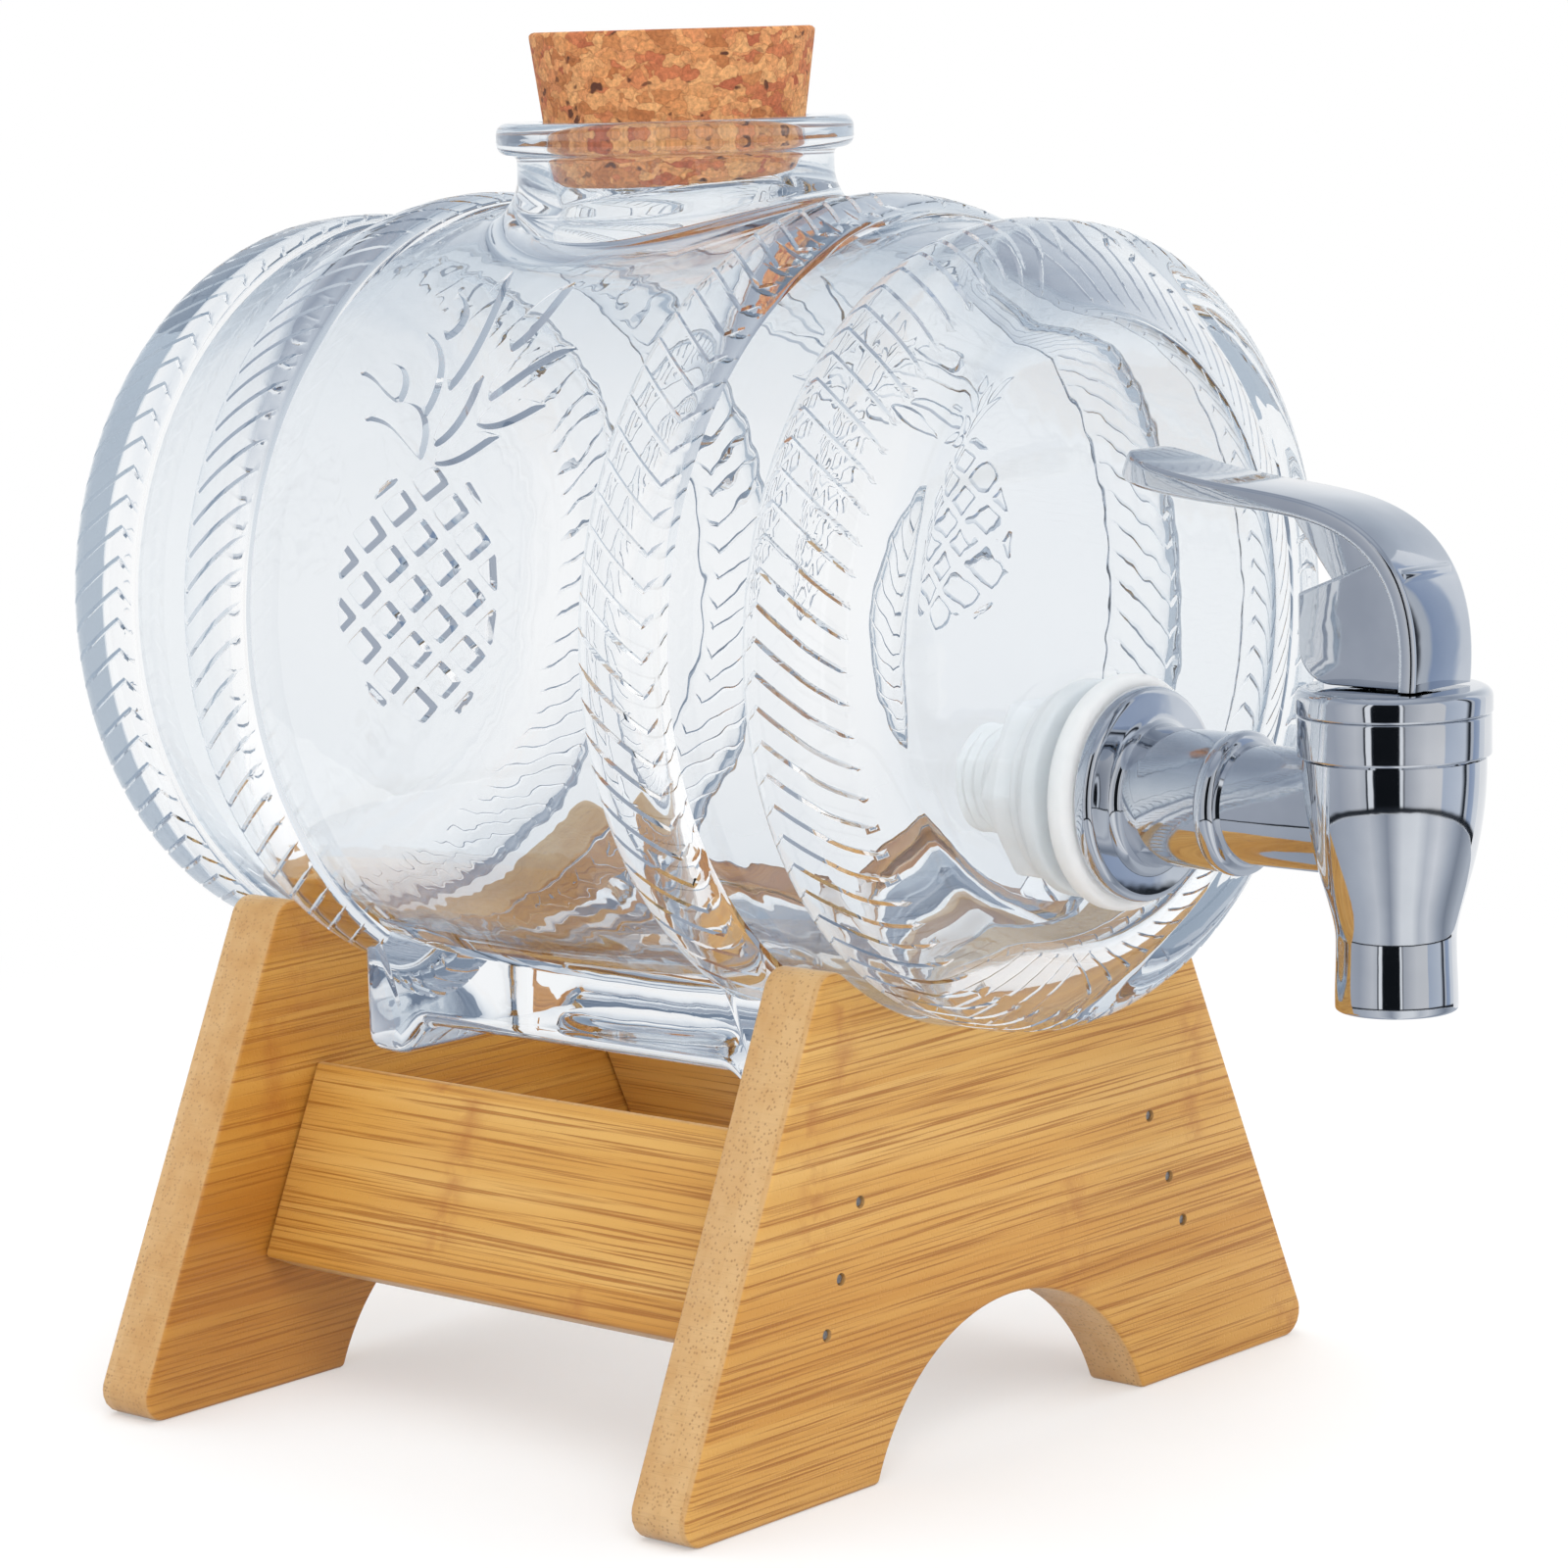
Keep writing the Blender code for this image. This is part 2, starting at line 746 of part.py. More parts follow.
def tap_body(finish, parent):
    """Spout, shank, flange and thread in one moulding, hollow from thread to mouth."""
    along_y = (-math.pi / 2, 0, 0)
    body = new_object("tap_body", turned(spout_outline(), tap_facets), finish, parent)
    shape = turned(shank_outline(), tap_facets)
    shank = new_object("shank_form", shape, finish, parent, (0, 0, 0), along_y)
    boolean(body, shank, "UNION")
    top = spout_shoulder_rise + spout_neck_height + cut_overrun
    shape = turned(
        [
            (0, -spout_mouth_drop - cut_overrun),
            (outlet_mouth_radius, -spout_mouth_drop - cut_overrun),
            (outlet_mouth_radius, -spout_mouth_drop),
            (outlet_radius, -spout_waist_drop),
            (outlet_radius, -seat_drop - seat_chamfer),
            (outlet_radius + seat_chamfer, -seat_drop),
            (chamber_radius, -seat_drop),
            (chamber_radius, top),
            (0, top),
        ],
        tap_facets,
    )
    chamber = new_object("chamber_cut", shape, finish, parent)
    boolean(body, chamber, "DIFFERENCE")
    length = tap_reach + thread_length + head_wall + cut_overrun
    shape = turned(
        [(0, 0), (shank_bore_radius, 0), (shank_bore_radius, length), (0, length)],
        small_facets,
    )
    bore = new_object("shank_bore_cut", shape, finish, parent, (0, 0, 0), along_y)
    boolean(body, bore, "DIFFERENCE")
    return body


def outer_washer(finish, parent):
    """Soft washer between flange and glass, with a thin bush that centres it in the hole."""
    hole = thread_radius + seat_gap
    bush = hole + bush_wall
    back = -seat_gap
    front = back - washer_thickness
    rim = washer_radius - washer_rounding
    outline = [(hole, front), (rim, front)]
    outline += arc((rim, front + washer_rounding), washer_rounding, -math.pi / 2, 0, 2)[1:]
    outline += arc((rim, back - washer_rounding), washer_rounding, 0, math.pi / 2, 2)
    outline += [(bush, back), (bush, head_wall), (hole, head_wall)]
    shape = turned(outline, tap_facets, ring=True)
    return new_object("outer_washer", shape, finish, parent, (0, 0, 0), (-math.pi / 2, 0, 0))


def inner_washer(finish, parent):
    """Soft washer against the inside of the head."""
    hole = thread_radius + seat_gap
    front = head_wall + seat_gap
    back = front + inner_washer_thickness
    rim = inner_washer_radius - washer_rounding / 2
    outline = [
        (hole, front),
        (rim, front),
        (inner_washer_radius, front + washer_rounding / 2),
        (inner_washer_radius, back - washer_rounding / 2),
        (rim, back),
        (hole, back),
    ]
    shape = turned(outline, tap_facets, ring=True)
    return new_object("inner_washer", shape, finish, parent, (0, 0, 0), (-math.pi / 2, 0, 0))


def lock_nut(finish, parent):
    """Flanged hexagon nut on the thread, inside the barrel."""
    along_y = (-math.pi / 2, 0, 0)
    start = head_wall + seat_gap + inner_washer_thickness + seat_gap
    corner = nut_across_flats / 2 / math.cos(math.pi / 6)
    hexagon = [
        (corner * math.cos(math.tau * index / 6), corner * math.sin(math.tau * index / 6))
        for index in range(6)
    ]
    place = (0, start + nut_height / 2, 0)
    nut = new_object(
        "lock_nut", extruded(hexagon, nut_height, floor_plane), finish, parent, place, along_y
    )
    bevel(nut, washer_rounding / 2)
    shape = turned(
        [
            (0, 0),
            (nut_flange_radius, 0),
            (nut_flange_radius, nut_flange_thickness),
            (0, nut_flange_thickness),
        ],
        tap_facets,
    )
    flange = new_object("nut_flange_form", shape, finish, parent, (0, start, 0), along_y)
    boolean(nut, flange, "UNION")
    hole = thread_radius + seat_gap
    top = nut_height + cut_overrun
    shape = turned(
        [(0, -cut_overrun), (hole, -cut_overrun), (hole, top), (0, top)],
        tap_facets,
    )
    cutter = new_object("nut_thread_cut", shape, finish, parent, (0, start, 0), along_y)
    boolean(nut, cutter, "DIFFERENCE")
    return nut


def tap_cap(finish, parent):
    """Screw cap in two bands, with a hole in its roof for the stem."""
    inside = spout_neck_radius + seat_gap
    hole = stem_radius + seat_gap * 2
    skirt = cap_radius - cap_skirt_inset
    groove = cap_height * cap_groove_share
    outline = [
        (inside, 0),
        (skirt - cap_groove_depth, 0),
        (skirt, cap_groove_depth),
        (skirt, groove - cap_groove_depth),
        (skirt - cap_groove_depth, groove),
        (cap_radius, groove + cap_groove_depth),
    ]
    outline += arc(
        (cap_radius - cap_rounding, cap_height - cap_rounding), cap_rounding, 0, math.pi / 2, 3
    )
    outline += [(hole, cap_height), (hole, cap_height - cap_roof)]
    outline += [(inside, cap_height - cap_roof)]
    shape = turned(outline, tap_facets, ring=True)
    return new_object("tap_cap", shape, finish, parent)


def valve_plug(finish, parent):
    """Soft plug with a blunt nose that closes the outlet, and a socket for the stem."""
    nose = outlet_radius - seat_gap * 2
    socket_radius = stem_foot_radius + seat_gap
    neck_hole = stem_radius + seat_gap
    socket_floor = plug_height - plug_socket_depth
    shape = turned(
        [
            (0, -plug_nose_height),
            (nose * plug_nose_share, -plug_nose_height),
            (nose, -seat_chamfer),
            (nose + seat_gap, 0),
            (plug_radius, 0),
            (plug_radius, plug_height),
            (neck_hole, plug_height),
            (neck_hole, socket_floor + stem_foot_height + seat_gap * 2),
            (socket_radius, socket_floor + stem_foot_height + seat_gap * 2),
            (socket_radius, socket_floor),
            (0, socket_floor),
        ],
        small_facets,
    )
    return new_object("valve_plug", shape, finish, parent)


def valve_stem(finish, parent):
    """Stem from the plug's socket up through the cap, ending in a flat eye for the pin."""
    socket_floor = plug_height - plug_socket_depth
    foot = socket_floor + seat_gap
    disc = plug_height + seat_gap
    top = pin_place - seat_height - seat_gap + stem_cover
    shape = turned(
        [
            (0, foot),
            (stem_foot_radius - seat_gap, foot),
            (stem_foot_radius, foot + seat_gap),
            (stem_foot_radius, foot + stem_foot_height),
            (stem_radius, foot + stem_foot_height),
            (stem_radius, disc),
            (stem_disc_radius, disc),
            (stem_disc_radius, disc + stem_disc_height),
            (stem_radius, disc + stem_disc_height),
            (stem_radius, top - stem_crown_height),
            (stem_crown_radius, top),
            (0, top),
        ],
        small_facets,
    )
    stem = new_object("valve_stem", shape, finish, parent)
    pin = pin_place - seat_height - seat_gap
    half = stem_eye_width / 2
    reach = stem_radius + cut_overrun
    for side in (-1, 1):
        low = pin - stem_cover
        high = top + cut_overrun
        outline = [(half, low), (reach, low), (reach, high), (half, high)]
        flat = [(side * x, z) for x, z in outline]
        shape = extruded(flat, reach * 2, front_plane)
        word = "left" if side < 0 else "right"
        cutter = new_object(f"stem_{word}_flat_cut", shape, finish, parent)
        boolean(stem, cutter, "DIFFERENCE")
    hole = pin_radius + seat_gap
    shape = turned([(0, -reach), (hole, -reach), (hole, reach), (0, reach)], small_facets)
    cutter = new_object(
        "stem_eye_cut", shape, finish, parent, (0, 0, pin), (0, math.pi / 2, 0)
    )
    boolean(stem, cutter, "DIFFERENCE")
    return stem


def valve_spring(finish, parent):
    """Coil spring round the stem, from the stem's disc to the cap's roof."""
    wire = spring_wire / 2
    low = plug_height + seat_gap + stem_disc_height + seat_gap + wire
    roof = cap_top - cap_roof - seat_height - seat_gap
    high = roof - seat_gap - wire
    steps = spring_turns * 12
    curve = bpy.data.curves.new("valve_spring", "CURVE")
    curve.dimensions = "3D"
    curve.bevel_depth = wire
    curve.bevel_resolution = 1
    curve.use_fill_caps = True
    coil = curve.splines.new("POLY")
    coil.points.add(steps)
    for index, point in enumerate(coil.points):
        share = index / steps
        angle = math.tau * spring_turns * share
        rise = low + (high - low) * share
        point.co = (spring_radius * math.cos(angle), spring_radius * math.sin(angle), rise, 1.0)
    curve.materials.append(finish)
    spring = bpy.data.objects.new("valve_spring", curve)
    bpy.context.scene.collection.objects.link(spring)
    spring.parent = parent
    return spring


def lever_pin(finish, parent):
    """Cross pin on the lever's axis, through the stem's eye and into the hub's blind holes."""
    half = pin_length / 2
    shape = turned(
        [(0, -half), (pin_radius, -half), (pin_radius, half), (0, half)], small_facets
    )
    return new_object("lever_pin", shape, finish, parent, (0, 0, 0), (0, math.pi / 2, 0))


def strap_sections():
    """Sections of the lever's strap, from its foot over the shoulder to the round tip."""
    floor = seat_gap - pin_height
    rise = bezier(
        (-lever_front, floor),
        (
            -lever_front - lever_thickness / 2,
            lever_shoulder_height * strap_foot_pull_share - pin_height,
        ),
        (
            -lever_front * strap_shoulder_front_share,
            lever_shoulder_height * strap_shoulder_pull_share - pin_height,
        ),
        (lever_shoulder_back, lever_shoulder_height - pin_height),
        strap_steps,
    )
    run = lever_back - lever_shoulder_back
    grip = bezier(
        (lever_shoulder_back, lever_shoulder_height - pin_height),
        (
            lever_shoulder_back + run * grip_front_place_share,
            lever_shoulder_height * grip_front_height_share - pin_height,
        ),
        (
            lever_shoulder_back + run * grip_back_place_share,
            lever_shoulder_height * grip_back_height_share - pin_height,
        ),
        (lever_back, lever_tip_height - pin_height),
        strap_steps,
    )
    line = [Vector(point) for point in rise + grip[1:]]
    sections = []
    last = len(line) - 1
    for index, point in enumerate(line):
        ahead = line[min(index + 1, last)] - line[max(index - 1, 0)]
        down = Vector((ahead.y, -ahead.x)).normalized()
        if index == 0:
            down = Vector((1, 0))
        grip_share = max(0.0, (index - strap_steps) / (last - strap_steps))
        thick = lever_thickness + (lever_tip_thickness - lever_thickness) * grip_share**2
        end_share = min(1.0, (last - index) / 2)
        narrow = tip_width_share + (1 - tip_width_share) * math.sqrt(end_share)
        middle = point + down * (thick / 2)
        half_wide = lever_width / 2 * narrow
        half_thick = thick / 2 * narrow
        edge = lever_edge * narrow
        loop = [
            (-half_wide, -half_thick + edge),
            (-half_wide + edge, -half_thick),
            (half_wide - edge, -half_thick),
            (half_wide, -half_thick + edge),
            (half_wide, half_thick - edge),
            (half_wide - edge, half_thick),
            (-half_wide + edge, half_thick),
            (-half_wide, half_thick - edge),
        ]
        sections.append(
            [(x, middle.x + down.x * deep, middle.y + down.y * deep) for x, deep in loop]
        )
    return sections


def lever(finish, parent):
    """Strap, hub and gusset in one moulding, with its origin on the pin."""
    handle = new_object("lever", lofted(strap_sections()), finish, parent)
    floor = seat_gap - pin_height
    heel = (hub_back - heel_radius, floor + heel_radius)
    hub_outline = [(-hub_front, floor)]
    hub_outline += arc(heel, heel_radius, -math.pi / 2, 0, 4)
    hub_outline += [
        (hub_back, hub_back_height - pin_height),
        (-hub_front * hub_crest_share, hub_top_height - pin_height),
        (-hub_front, hub_top_height * hub_front_height_share - pin_height),
    ]
    shape = extruded(hub_outline, hub_width, side_plane)
    hub = new_object("hub_form", shape, finish, parent)
    boolean(handle, hub, "UNION")
    plate_outline = [
        (-gusset_front, hub_back_height - pin_height),
        (gusset_foot, hub_back_height - pin_height),
        (gusset_reach, lever_shoulder_height - pin_height),
        (lever_shoulder_back, lever_shoulder_height - lever_thickness / 2 - pin_height),
        (0, hub_top_height - pin_height + lever_thickness / 2),
    ]
    shape = extruded(plate_outline, gusset_thickness, side_plane)
    plate = new_object("gusset_form", shape, finish, parent)
    boolean(handle, plate, "UNION")
    slot_top = stem_cover + seat_gap * 2
    slot_half = stem_radius + seat_gap
    slot_outline = [
        (-slot_front, floor - cut_overrun),
        (slot_back, floor - cut_overrun),
        (slot_back, 0),
        (slot_front, slot_top),
        (-slot_front, slot_top),
    ]
    shape = extruded(slot_outline, slot_half * 2, side_plane)
    slot = new_object("stem_slot_cut", shape, finish, parent)
    boolean(handle, slot, "DIFFERENCE")
    hole = pin_radius + seat_gap
    reach = pin_length / 2 + seat_gap
    shape = turned([(0, -reach), (hole, -reach), (hole, reach), (0, reach)], small_facets)
    cutter = new_object(
        "lever_pin_cut", shape, finish, parent, (0, 0, 0), (0, math.pi / 2, 0)
    )
    boolean(handle, cutter, "DIFFERENCE")
    return handle


def build():
    """Make every piece, each under the empty that carries it."""
    clear_scene()
    glass = material("soda_glass", (0.86, 0.92, 0.95), 0.02, transmission=1.0, ior=1.5)
    bamboo = material("laminated_bamboo", (0.66, 0.38, 0.12), 0.5)
    steel = material("bright_steel", (0.55, 0.55, 0.56), 0.3, metallic=1.0)
    cork = material("agglomerated_cork", (0.63, 0.37, 0.17), 0.85)
    chrome = material("chrome_plating", (0.80, 0.81, 0.83), 0.05, metallic=1.0)
    silicone = material("milky_silicone", (0.86, 0.88, 0.88), 0.4, transmission=0.4, ior=1.41)
    nylon = material("white_nylon", (0.82, 0.83, 0.82), 0.45)

    stand = empty("stand_origin", None, (0, stand_centre, 0))
    end_panel("front_panel", -1, bamboo, stand)
    end_panel("rear_panel", 1, bamboo, stand)
    rail("left_rail", -1, bamboo, stand)
    rail("right_rail", 1, bamboo, stand)
    brads(steel, stand)

    barrel = empty("barrel_axis", stand, (0, 0, barrel_axis_height))
    glass_barrel(glass, barrel)
    cork_seat = empty("cork_seat", stand, (0, 0, lip_top - cork_depth))
    cork_stopper(cork, cork_seat)

    tap_hole = empty("tap_hole", stand, (0, -barrel_half_length, tap_height))
    outer_washer(silicone, tap_hole)
    inner_washer(silicone, tap_hole)
    lock_nut(nylon, tap_hole)

    spout = empty("spout_axis", stand, (0, spout_place, tap_height))
    tap_body(chrome, spout)
    cap_seat = empty("cap_seat", stand, (0, spout_place, cap_top - cap_height))
    tap_cap(chrome, cap_seat)
    valve = empty("valve_seat", stand, (0, spout_place, seat_height + seat_gap))
    valve_plug(silicone, valve)
    valve_stem(nylon, valve)
    valve_spring(steel, valve)
    pin = empty("lever_axis", stand, (0, spout_place, pin_place))
    lever_pin(steel, pin)
    lever(chrome, pin)


build()
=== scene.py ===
"""Glass barrel drink dispenser on a bamboo stand: its fine shapes, finishes and studio.

The barrel lies along Y with its tapped head towards -Y, and Z points up. Lengths are metres.
"""

import math

import bmesh
import bpy
import numpy as np
from bpy.props import FloatProperty, FloatVectorProperty, IntProperty, PointerProperty
from mathutils import Matrix, Vector, noise


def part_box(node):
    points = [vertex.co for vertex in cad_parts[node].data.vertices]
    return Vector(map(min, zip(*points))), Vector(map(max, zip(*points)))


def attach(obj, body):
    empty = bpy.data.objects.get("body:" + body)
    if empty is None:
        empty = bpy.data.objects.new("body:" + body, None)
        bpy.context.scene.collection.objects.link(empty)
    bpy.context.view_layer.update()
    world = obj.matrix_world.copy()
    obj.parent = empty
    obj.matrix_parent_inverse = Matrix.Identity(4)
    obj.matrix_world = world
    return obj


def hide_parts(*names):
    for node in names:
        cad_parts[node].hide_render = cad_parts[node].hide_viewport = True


bl_info = {
    "name": "Glass barrel dispenser",
    "version": (1, 0, 0),
    "blender": (4, 5, 0),
    "location": "View3D > Sidebar > Dispenser",
    "description": "Builds a pressed glass barrel dispenser with its cork, tap and bamboo stand",
    "category": "Add Mesh",
}

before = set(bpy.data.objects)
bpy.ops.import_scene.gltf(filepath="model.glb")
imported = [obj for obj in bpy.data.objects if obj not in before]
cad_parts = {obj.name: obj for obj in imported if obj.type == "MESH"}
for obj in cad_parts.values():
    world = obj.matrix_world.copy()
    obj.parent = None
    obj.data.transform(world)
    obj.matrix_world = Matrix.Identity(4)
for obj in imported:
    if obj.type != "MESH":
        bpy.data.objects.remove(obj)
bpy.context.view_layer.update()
glass_low, glass_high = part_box("glass_barrel")
cork_low, cork_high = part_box("cork_stopper")
washer_low, washer_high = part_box("outer_washer")

seat_gap = 0.0003
cut_overrun = 0.004

# Barrel
belly_radius = 0.058
barrel_half_length = (glass_high.y - glass_low.y) / 2
barrel_narrowing = 0.0065
glass_wall = 0.0042
head_wall = 0.0046
head_flat_radius = 0.045
head_inner_step = 0.0015
inner_corner_radius = 0.011
inner_hoop_place = 0.0393
inner_hoop_width = 0.0144
inner_hoop_height = 0.0028
outer_hoop_start = 0.0587
outer_hoop_crest = 0.0682
outer_hoop_height = 0.0025
hoop_roundness = 0.45
neck_radius = 0.0228
neck_fillet = 0.0065
neck_height = 0.0651
lip_radius = 0.0257
lip_height = 0.0046
lip_rounding = 0.0016
under_lip_fillet = 0.0010
mouth_rounding = 0.0007
stand_centre = (glass_low.y + glass_high.y) / 2
barrel_height = glass_high.z - neck_height - lip_height
barrel_centre = Vector((0, stand_centre, barrel_height))

foot_half_width = 0.032
foot_inset = 0.0052
foot_forward = 0.0035
foot_drop = belly_radius + 0.0077
foot_rounding = 0.0030
foot_pad_length = 0.0059
foot_arch_run = 0.0080
foot_arch_rise = 0.0049
recess_half_length = 0.018
recess_half_width = 0.011
recess_depth = 0.0026

# Window in the turned wall that the neck grows from, as columns to each side and a half length
barrel_columns = 240
window_columns = 24
window_half_length = 0.0315
cavity_facets = 128
wave_depth = 0.00016
wave_length = 0.022
wave_core_radius = 0.004
wave_head_band = 0.0004
bore_start_drop = 0.012
bore_flare = 0.0025
bore_flare_rise = 0.0018

# Rope strokes: where one starts and ends along the barrel, and the knee where it hooks back
inner_stroke_start = 0.0326
inner_stroke_knee = 0.0440
inner_stroke_hook_places = (0.0447, 0.0454, 0.0460)
inner_stroke_rise = 0.0088
inner_stroke_hook = 0.0024
outer_stroke_knee = 0.0617
outer_stroke_hook_places = (0.0592, 0.0600, 0.0608)
outer_stroke_hook = 0.0026
outer_stroke_rate = 8.2 / 12.5
outer_stroke_shoulder_turns = np.radians([9, 18, 27, 36, 44, 50])
stroke_lift = 0.0004
stroke_end_share = 0.12
stroke_width_share = 1.05
stroke_bottom_rise = 0.00008
stroke_first_share = 0.45

# Cork
cork_height = cork_high.z - cork_low.z
cork_bottom_radius = 0.0171
cork_top_radius = 0.0206
cork_rounding = 0.0009
cork_foot_rise = 0.0034
pit_share = 0.39
pit_seed = 3.0

# Stand
panel_thickness = 0.010
panel_place = 0.0526
panel_base_width = 0.14309
panel_side_angle = math.radians(24.2)
panel_rounding = 0.0036
panel_inner_face = panel_place - panel_thickness / 2
foot_half_length = panel_inner_face - foot_inset
arch_width = 0.0598
arch_height = 0.0205
rail_height = 0.030
rail_thickness = 0.008
rail_inset = 0.0151
rail_rise = 0.0205
brad_radius = 0.0006
brad_length = 0.025
brad_set_depth = 0.0004
brad_hole_share = 1.3
brad_shares = (0.16, 0.42, 0.78)

# Tap
tap_reach = 0.0458
tap_height = (washer_low.z + washer_high.z) / 2
spout_place = stand_centre - barrel_half_length - tap_reach
spout_axis = Vector((0, spout_place, tap_height))
tap_hole = Vector((0, stand_centre - barrel_half_length, tap_height))
glass_hole_radius = 0.0092
thread_radius = 0.0077
thread_length = 0.0205
thread_pitch = 0.00095
thread_depth = 0.0006
thread_run_out = 0.0008
flange_radius = 0.0147
flange_thickness = 0.0024
flange_rounding = 0.0011
collar_radius = 0.0112
shank_root_radius = 0.0094
shank_root_length = 0.0148
bead_radius = 0.0098
bead_width = 0.0030
bead_groove = 0.0004
shank_radius = 0.0081
shank_bore_radius = 0.0042
spout_shoulder_radius = 0.0120
spout_waist_radius = 0.0079
spout_mouth_radius = 0.0081
spout_shoulder_rise = 0.0081
spout_waist_drop = 0.0158
spout_mouth_drop = 0.0252
spout_neck_radius = 0.0106
spout_neck_height = 0.0066
spout_rim = 0.0005
spout_pulls = (0.72, 0.30)
chamber_radius = 0.0082
seat_drop = 0.0062
seat_chamfer = 0.001
outlet_radius = 0.0052
outlet_mouth_radius = 0.0064
washer_radius = 0.0162
washer_thickness = 0.0038
washer_rounding = 0.0014
bush_wall = 0.0009
inner_washer_radius = 0.0150
inner_washer_thickness = 0.0030
nut_across_flats = 0.0240
nut_height = 0.0068
nut_flange_radius = 0.0138
nut_flange_thickness = 0.0018
nut_flange_rounding = 0.0005
cap_radius = 0.01285
cap_height = 0.0090
cap_roof = 0.0017
cap_rounding = 0.0014
cap_groove_share = 0.62
cap_groove_depth = 0.00035
cap_skirt_inset = 0.0002
stem_radius = 0.0023
stem_cover = 0.0026
pin_radius = 0.0010
pin_length = 0.0086
pin_height = 0.0078
cap_seat_height = tap_height + spout_shoulder_rise + seat_gap
cap_top = cap_seat_height + cap_height
lever_axis = Vector((0, spout_place, cap_top + pin_height))

# Lever
lever_width = 0.0140
lever_thickness = 0.0026
lever_tip_thickness = 0.0040
lever_edge = 0.0008
lever_front = 0.0076
lever_back = 0.0405
lever_shoulder_back = 0.0090
lever_shoulder_height = 0.0242
lever_tip_height = 0.0302
tip_round = 0.0068
tip_taper = 0.0022
tip_least_width = 0.06
tip_least_thickness = 0.12
strap_edge_share = 0.9
rise_steps = 30
# Pulls of the strap's two curves, as shares of the shoulder's height and of the grip's run
rise_pulls = (0.52, 0.6, 0.89)
grip_pulls = ((0.30, 1.08), (0.66, 1.06))
hub_shares = (0.35, 0.9)
hub_rounding = 0.0005
gusset_rounding = 0.0004
hub_width = 0.0112
hub_front = 0.0056
hub_back = 0.0112
hub_back_height = 0.0121
hub_top_height = 0.0172
heel_radius = 0.0050
gusset_thickness = 0.0020
gusset_front = 0.0045
gusset_foot = 0.0080
gusset_reach = 0.0172
slot_front = 0.0031
slot_back = 0.0054

# Pineapple, unrolled: along the side to the right, and up the wall from half height
tile_middle = (0.0018, 0.0071)
tile_width = 0.0099
tile_height = 0.0077
tile_gap = 0.0016
tile_slope = 0.0006
tile_root = 0.0007
pad_points = 32
pad_squareness = 11
pad_least_gap = 0.00008
pad_least_reach = 0.00035
pad_least_area = 3.2e-6
egg_middle = (0.0019, 0.0069)
egg_half_width = 0.0152
egg_half_height = 0.0180
egg_core_share = 0.3
leaf_steps = 20
leaf_point_share = 0.05
leaf_full_width = 0.0011
# Each leaf's base, middle and tip, and half its width, in millimetres
leaves = (
    ((-1.2, 25.8), (-6.6, 31.6), (-14.6, 31.4), 2.5),
    ((-9.0, 34.0), (-13.2, 38.2), (-19.6, 38.8), 2.2),
    ((-3.0, 32.2), (-6.0, 39.8), (-10.6, 45.8), 2.2),
    ((-6.3, 44.9), (-6.9, 49.0), (-10.3, 53.8), 1.9),
    ((-0.5, 36.4), (-1.4, 46.8), (-3.6, 58.8), 2.2),
    ((7.4, 43.2), (8.3, 49.4), (10.2, 56.6), 2.0),
    ((7.9, 35.0), (11.2, 40.5), (18.6, 44.3), 1.9),
    ((0.8, 27.8), (3.0, 33.0), (4.6, 38.8), 1.8),
    ((7.4, 31.2), (12.6, 33.4), (18.2, 34.8), 2.0),
    ((1.9, 25.2), (6.7, 28.1), (12.0, 29.7), 2.0),
)


def linear(code):
    """Turn an sRGB hex colour to linear red, green, blue and alpha."""
    parts = [int(code[start : start + 2], 16) / 255 for start in (0, 2, 4)]
    bent = [p / 12.92 if p <= 0.04045 else ((p + 0.055) / 1.055) ** 2.4 for p in parts]
    return (*bent, 1.0)


def feed(node, inputs):
    """Set a node's inputs, by name in a dict or in the order shown in a list.

    Each takes a value, a hex colour, a socket, or a node for its first output that is shown.
    """
    if isinstance(inputs, dict):
        pairs = [(node.inputs[name], value) for name, value in inputs.items()]
    else:
        pairs = zip([entry for entry in node.inputs if entry.enabled], inputs)
    for entry, value in pairs:
        if isinstance(value, bpy.types.Node):
            value = next(result for result in value.outputs if result.enabled)
        if isinstance(value, bpy.types.NodeSocket):
            node.id_data.links.new(value, entry)
        else:
            entry.default_value = linear(value) if isinstance(value, str) else value


def add(tree, kind, inputs=(), stops=(), **settings):
    """Add one node with its settings, its inputs and a ramp's stops of place and colour.

    A kind in capitals is an operation of the Math node.
    """
    if kind.isupper():
        kind, settings["operation"] = "ShaderNodeMath", kind
    node = tree.nodes.new(kind)
    for name, value in settings.items():
        setattr(node, name, value)
    feed(node, inputs)
    elements = node.color_ramp.elements if stops else ()
    while len(elements) < len(stops):
        elements.new(0.5)
    for element, (place, colour) in zip(elements, stops):
        element.position = place
        element.color = linear(colour) if isinstance(colour, str) else colour
    return node


VECTOR = "ShaderNodeVectorMath"
MIX = "ShaderNodeMix"
NOISE = "ShaderNodeTexNoise"
VORONOI = "ShaderNodeTexVoronoi"
RANGE = "ShaderNodeMapRange"
RAMP = "ShaderNodeValToRGB"


def new_finish(name):
    """Return a new material with its tree, Principled shader and output."""
    made = bpy.data.materials.new(name)
    made.use_nodes = True
    tree = made.node_tree
    return made, tree, tree.nodes["Principled BSDF"], tree.nodes["Material Output"]


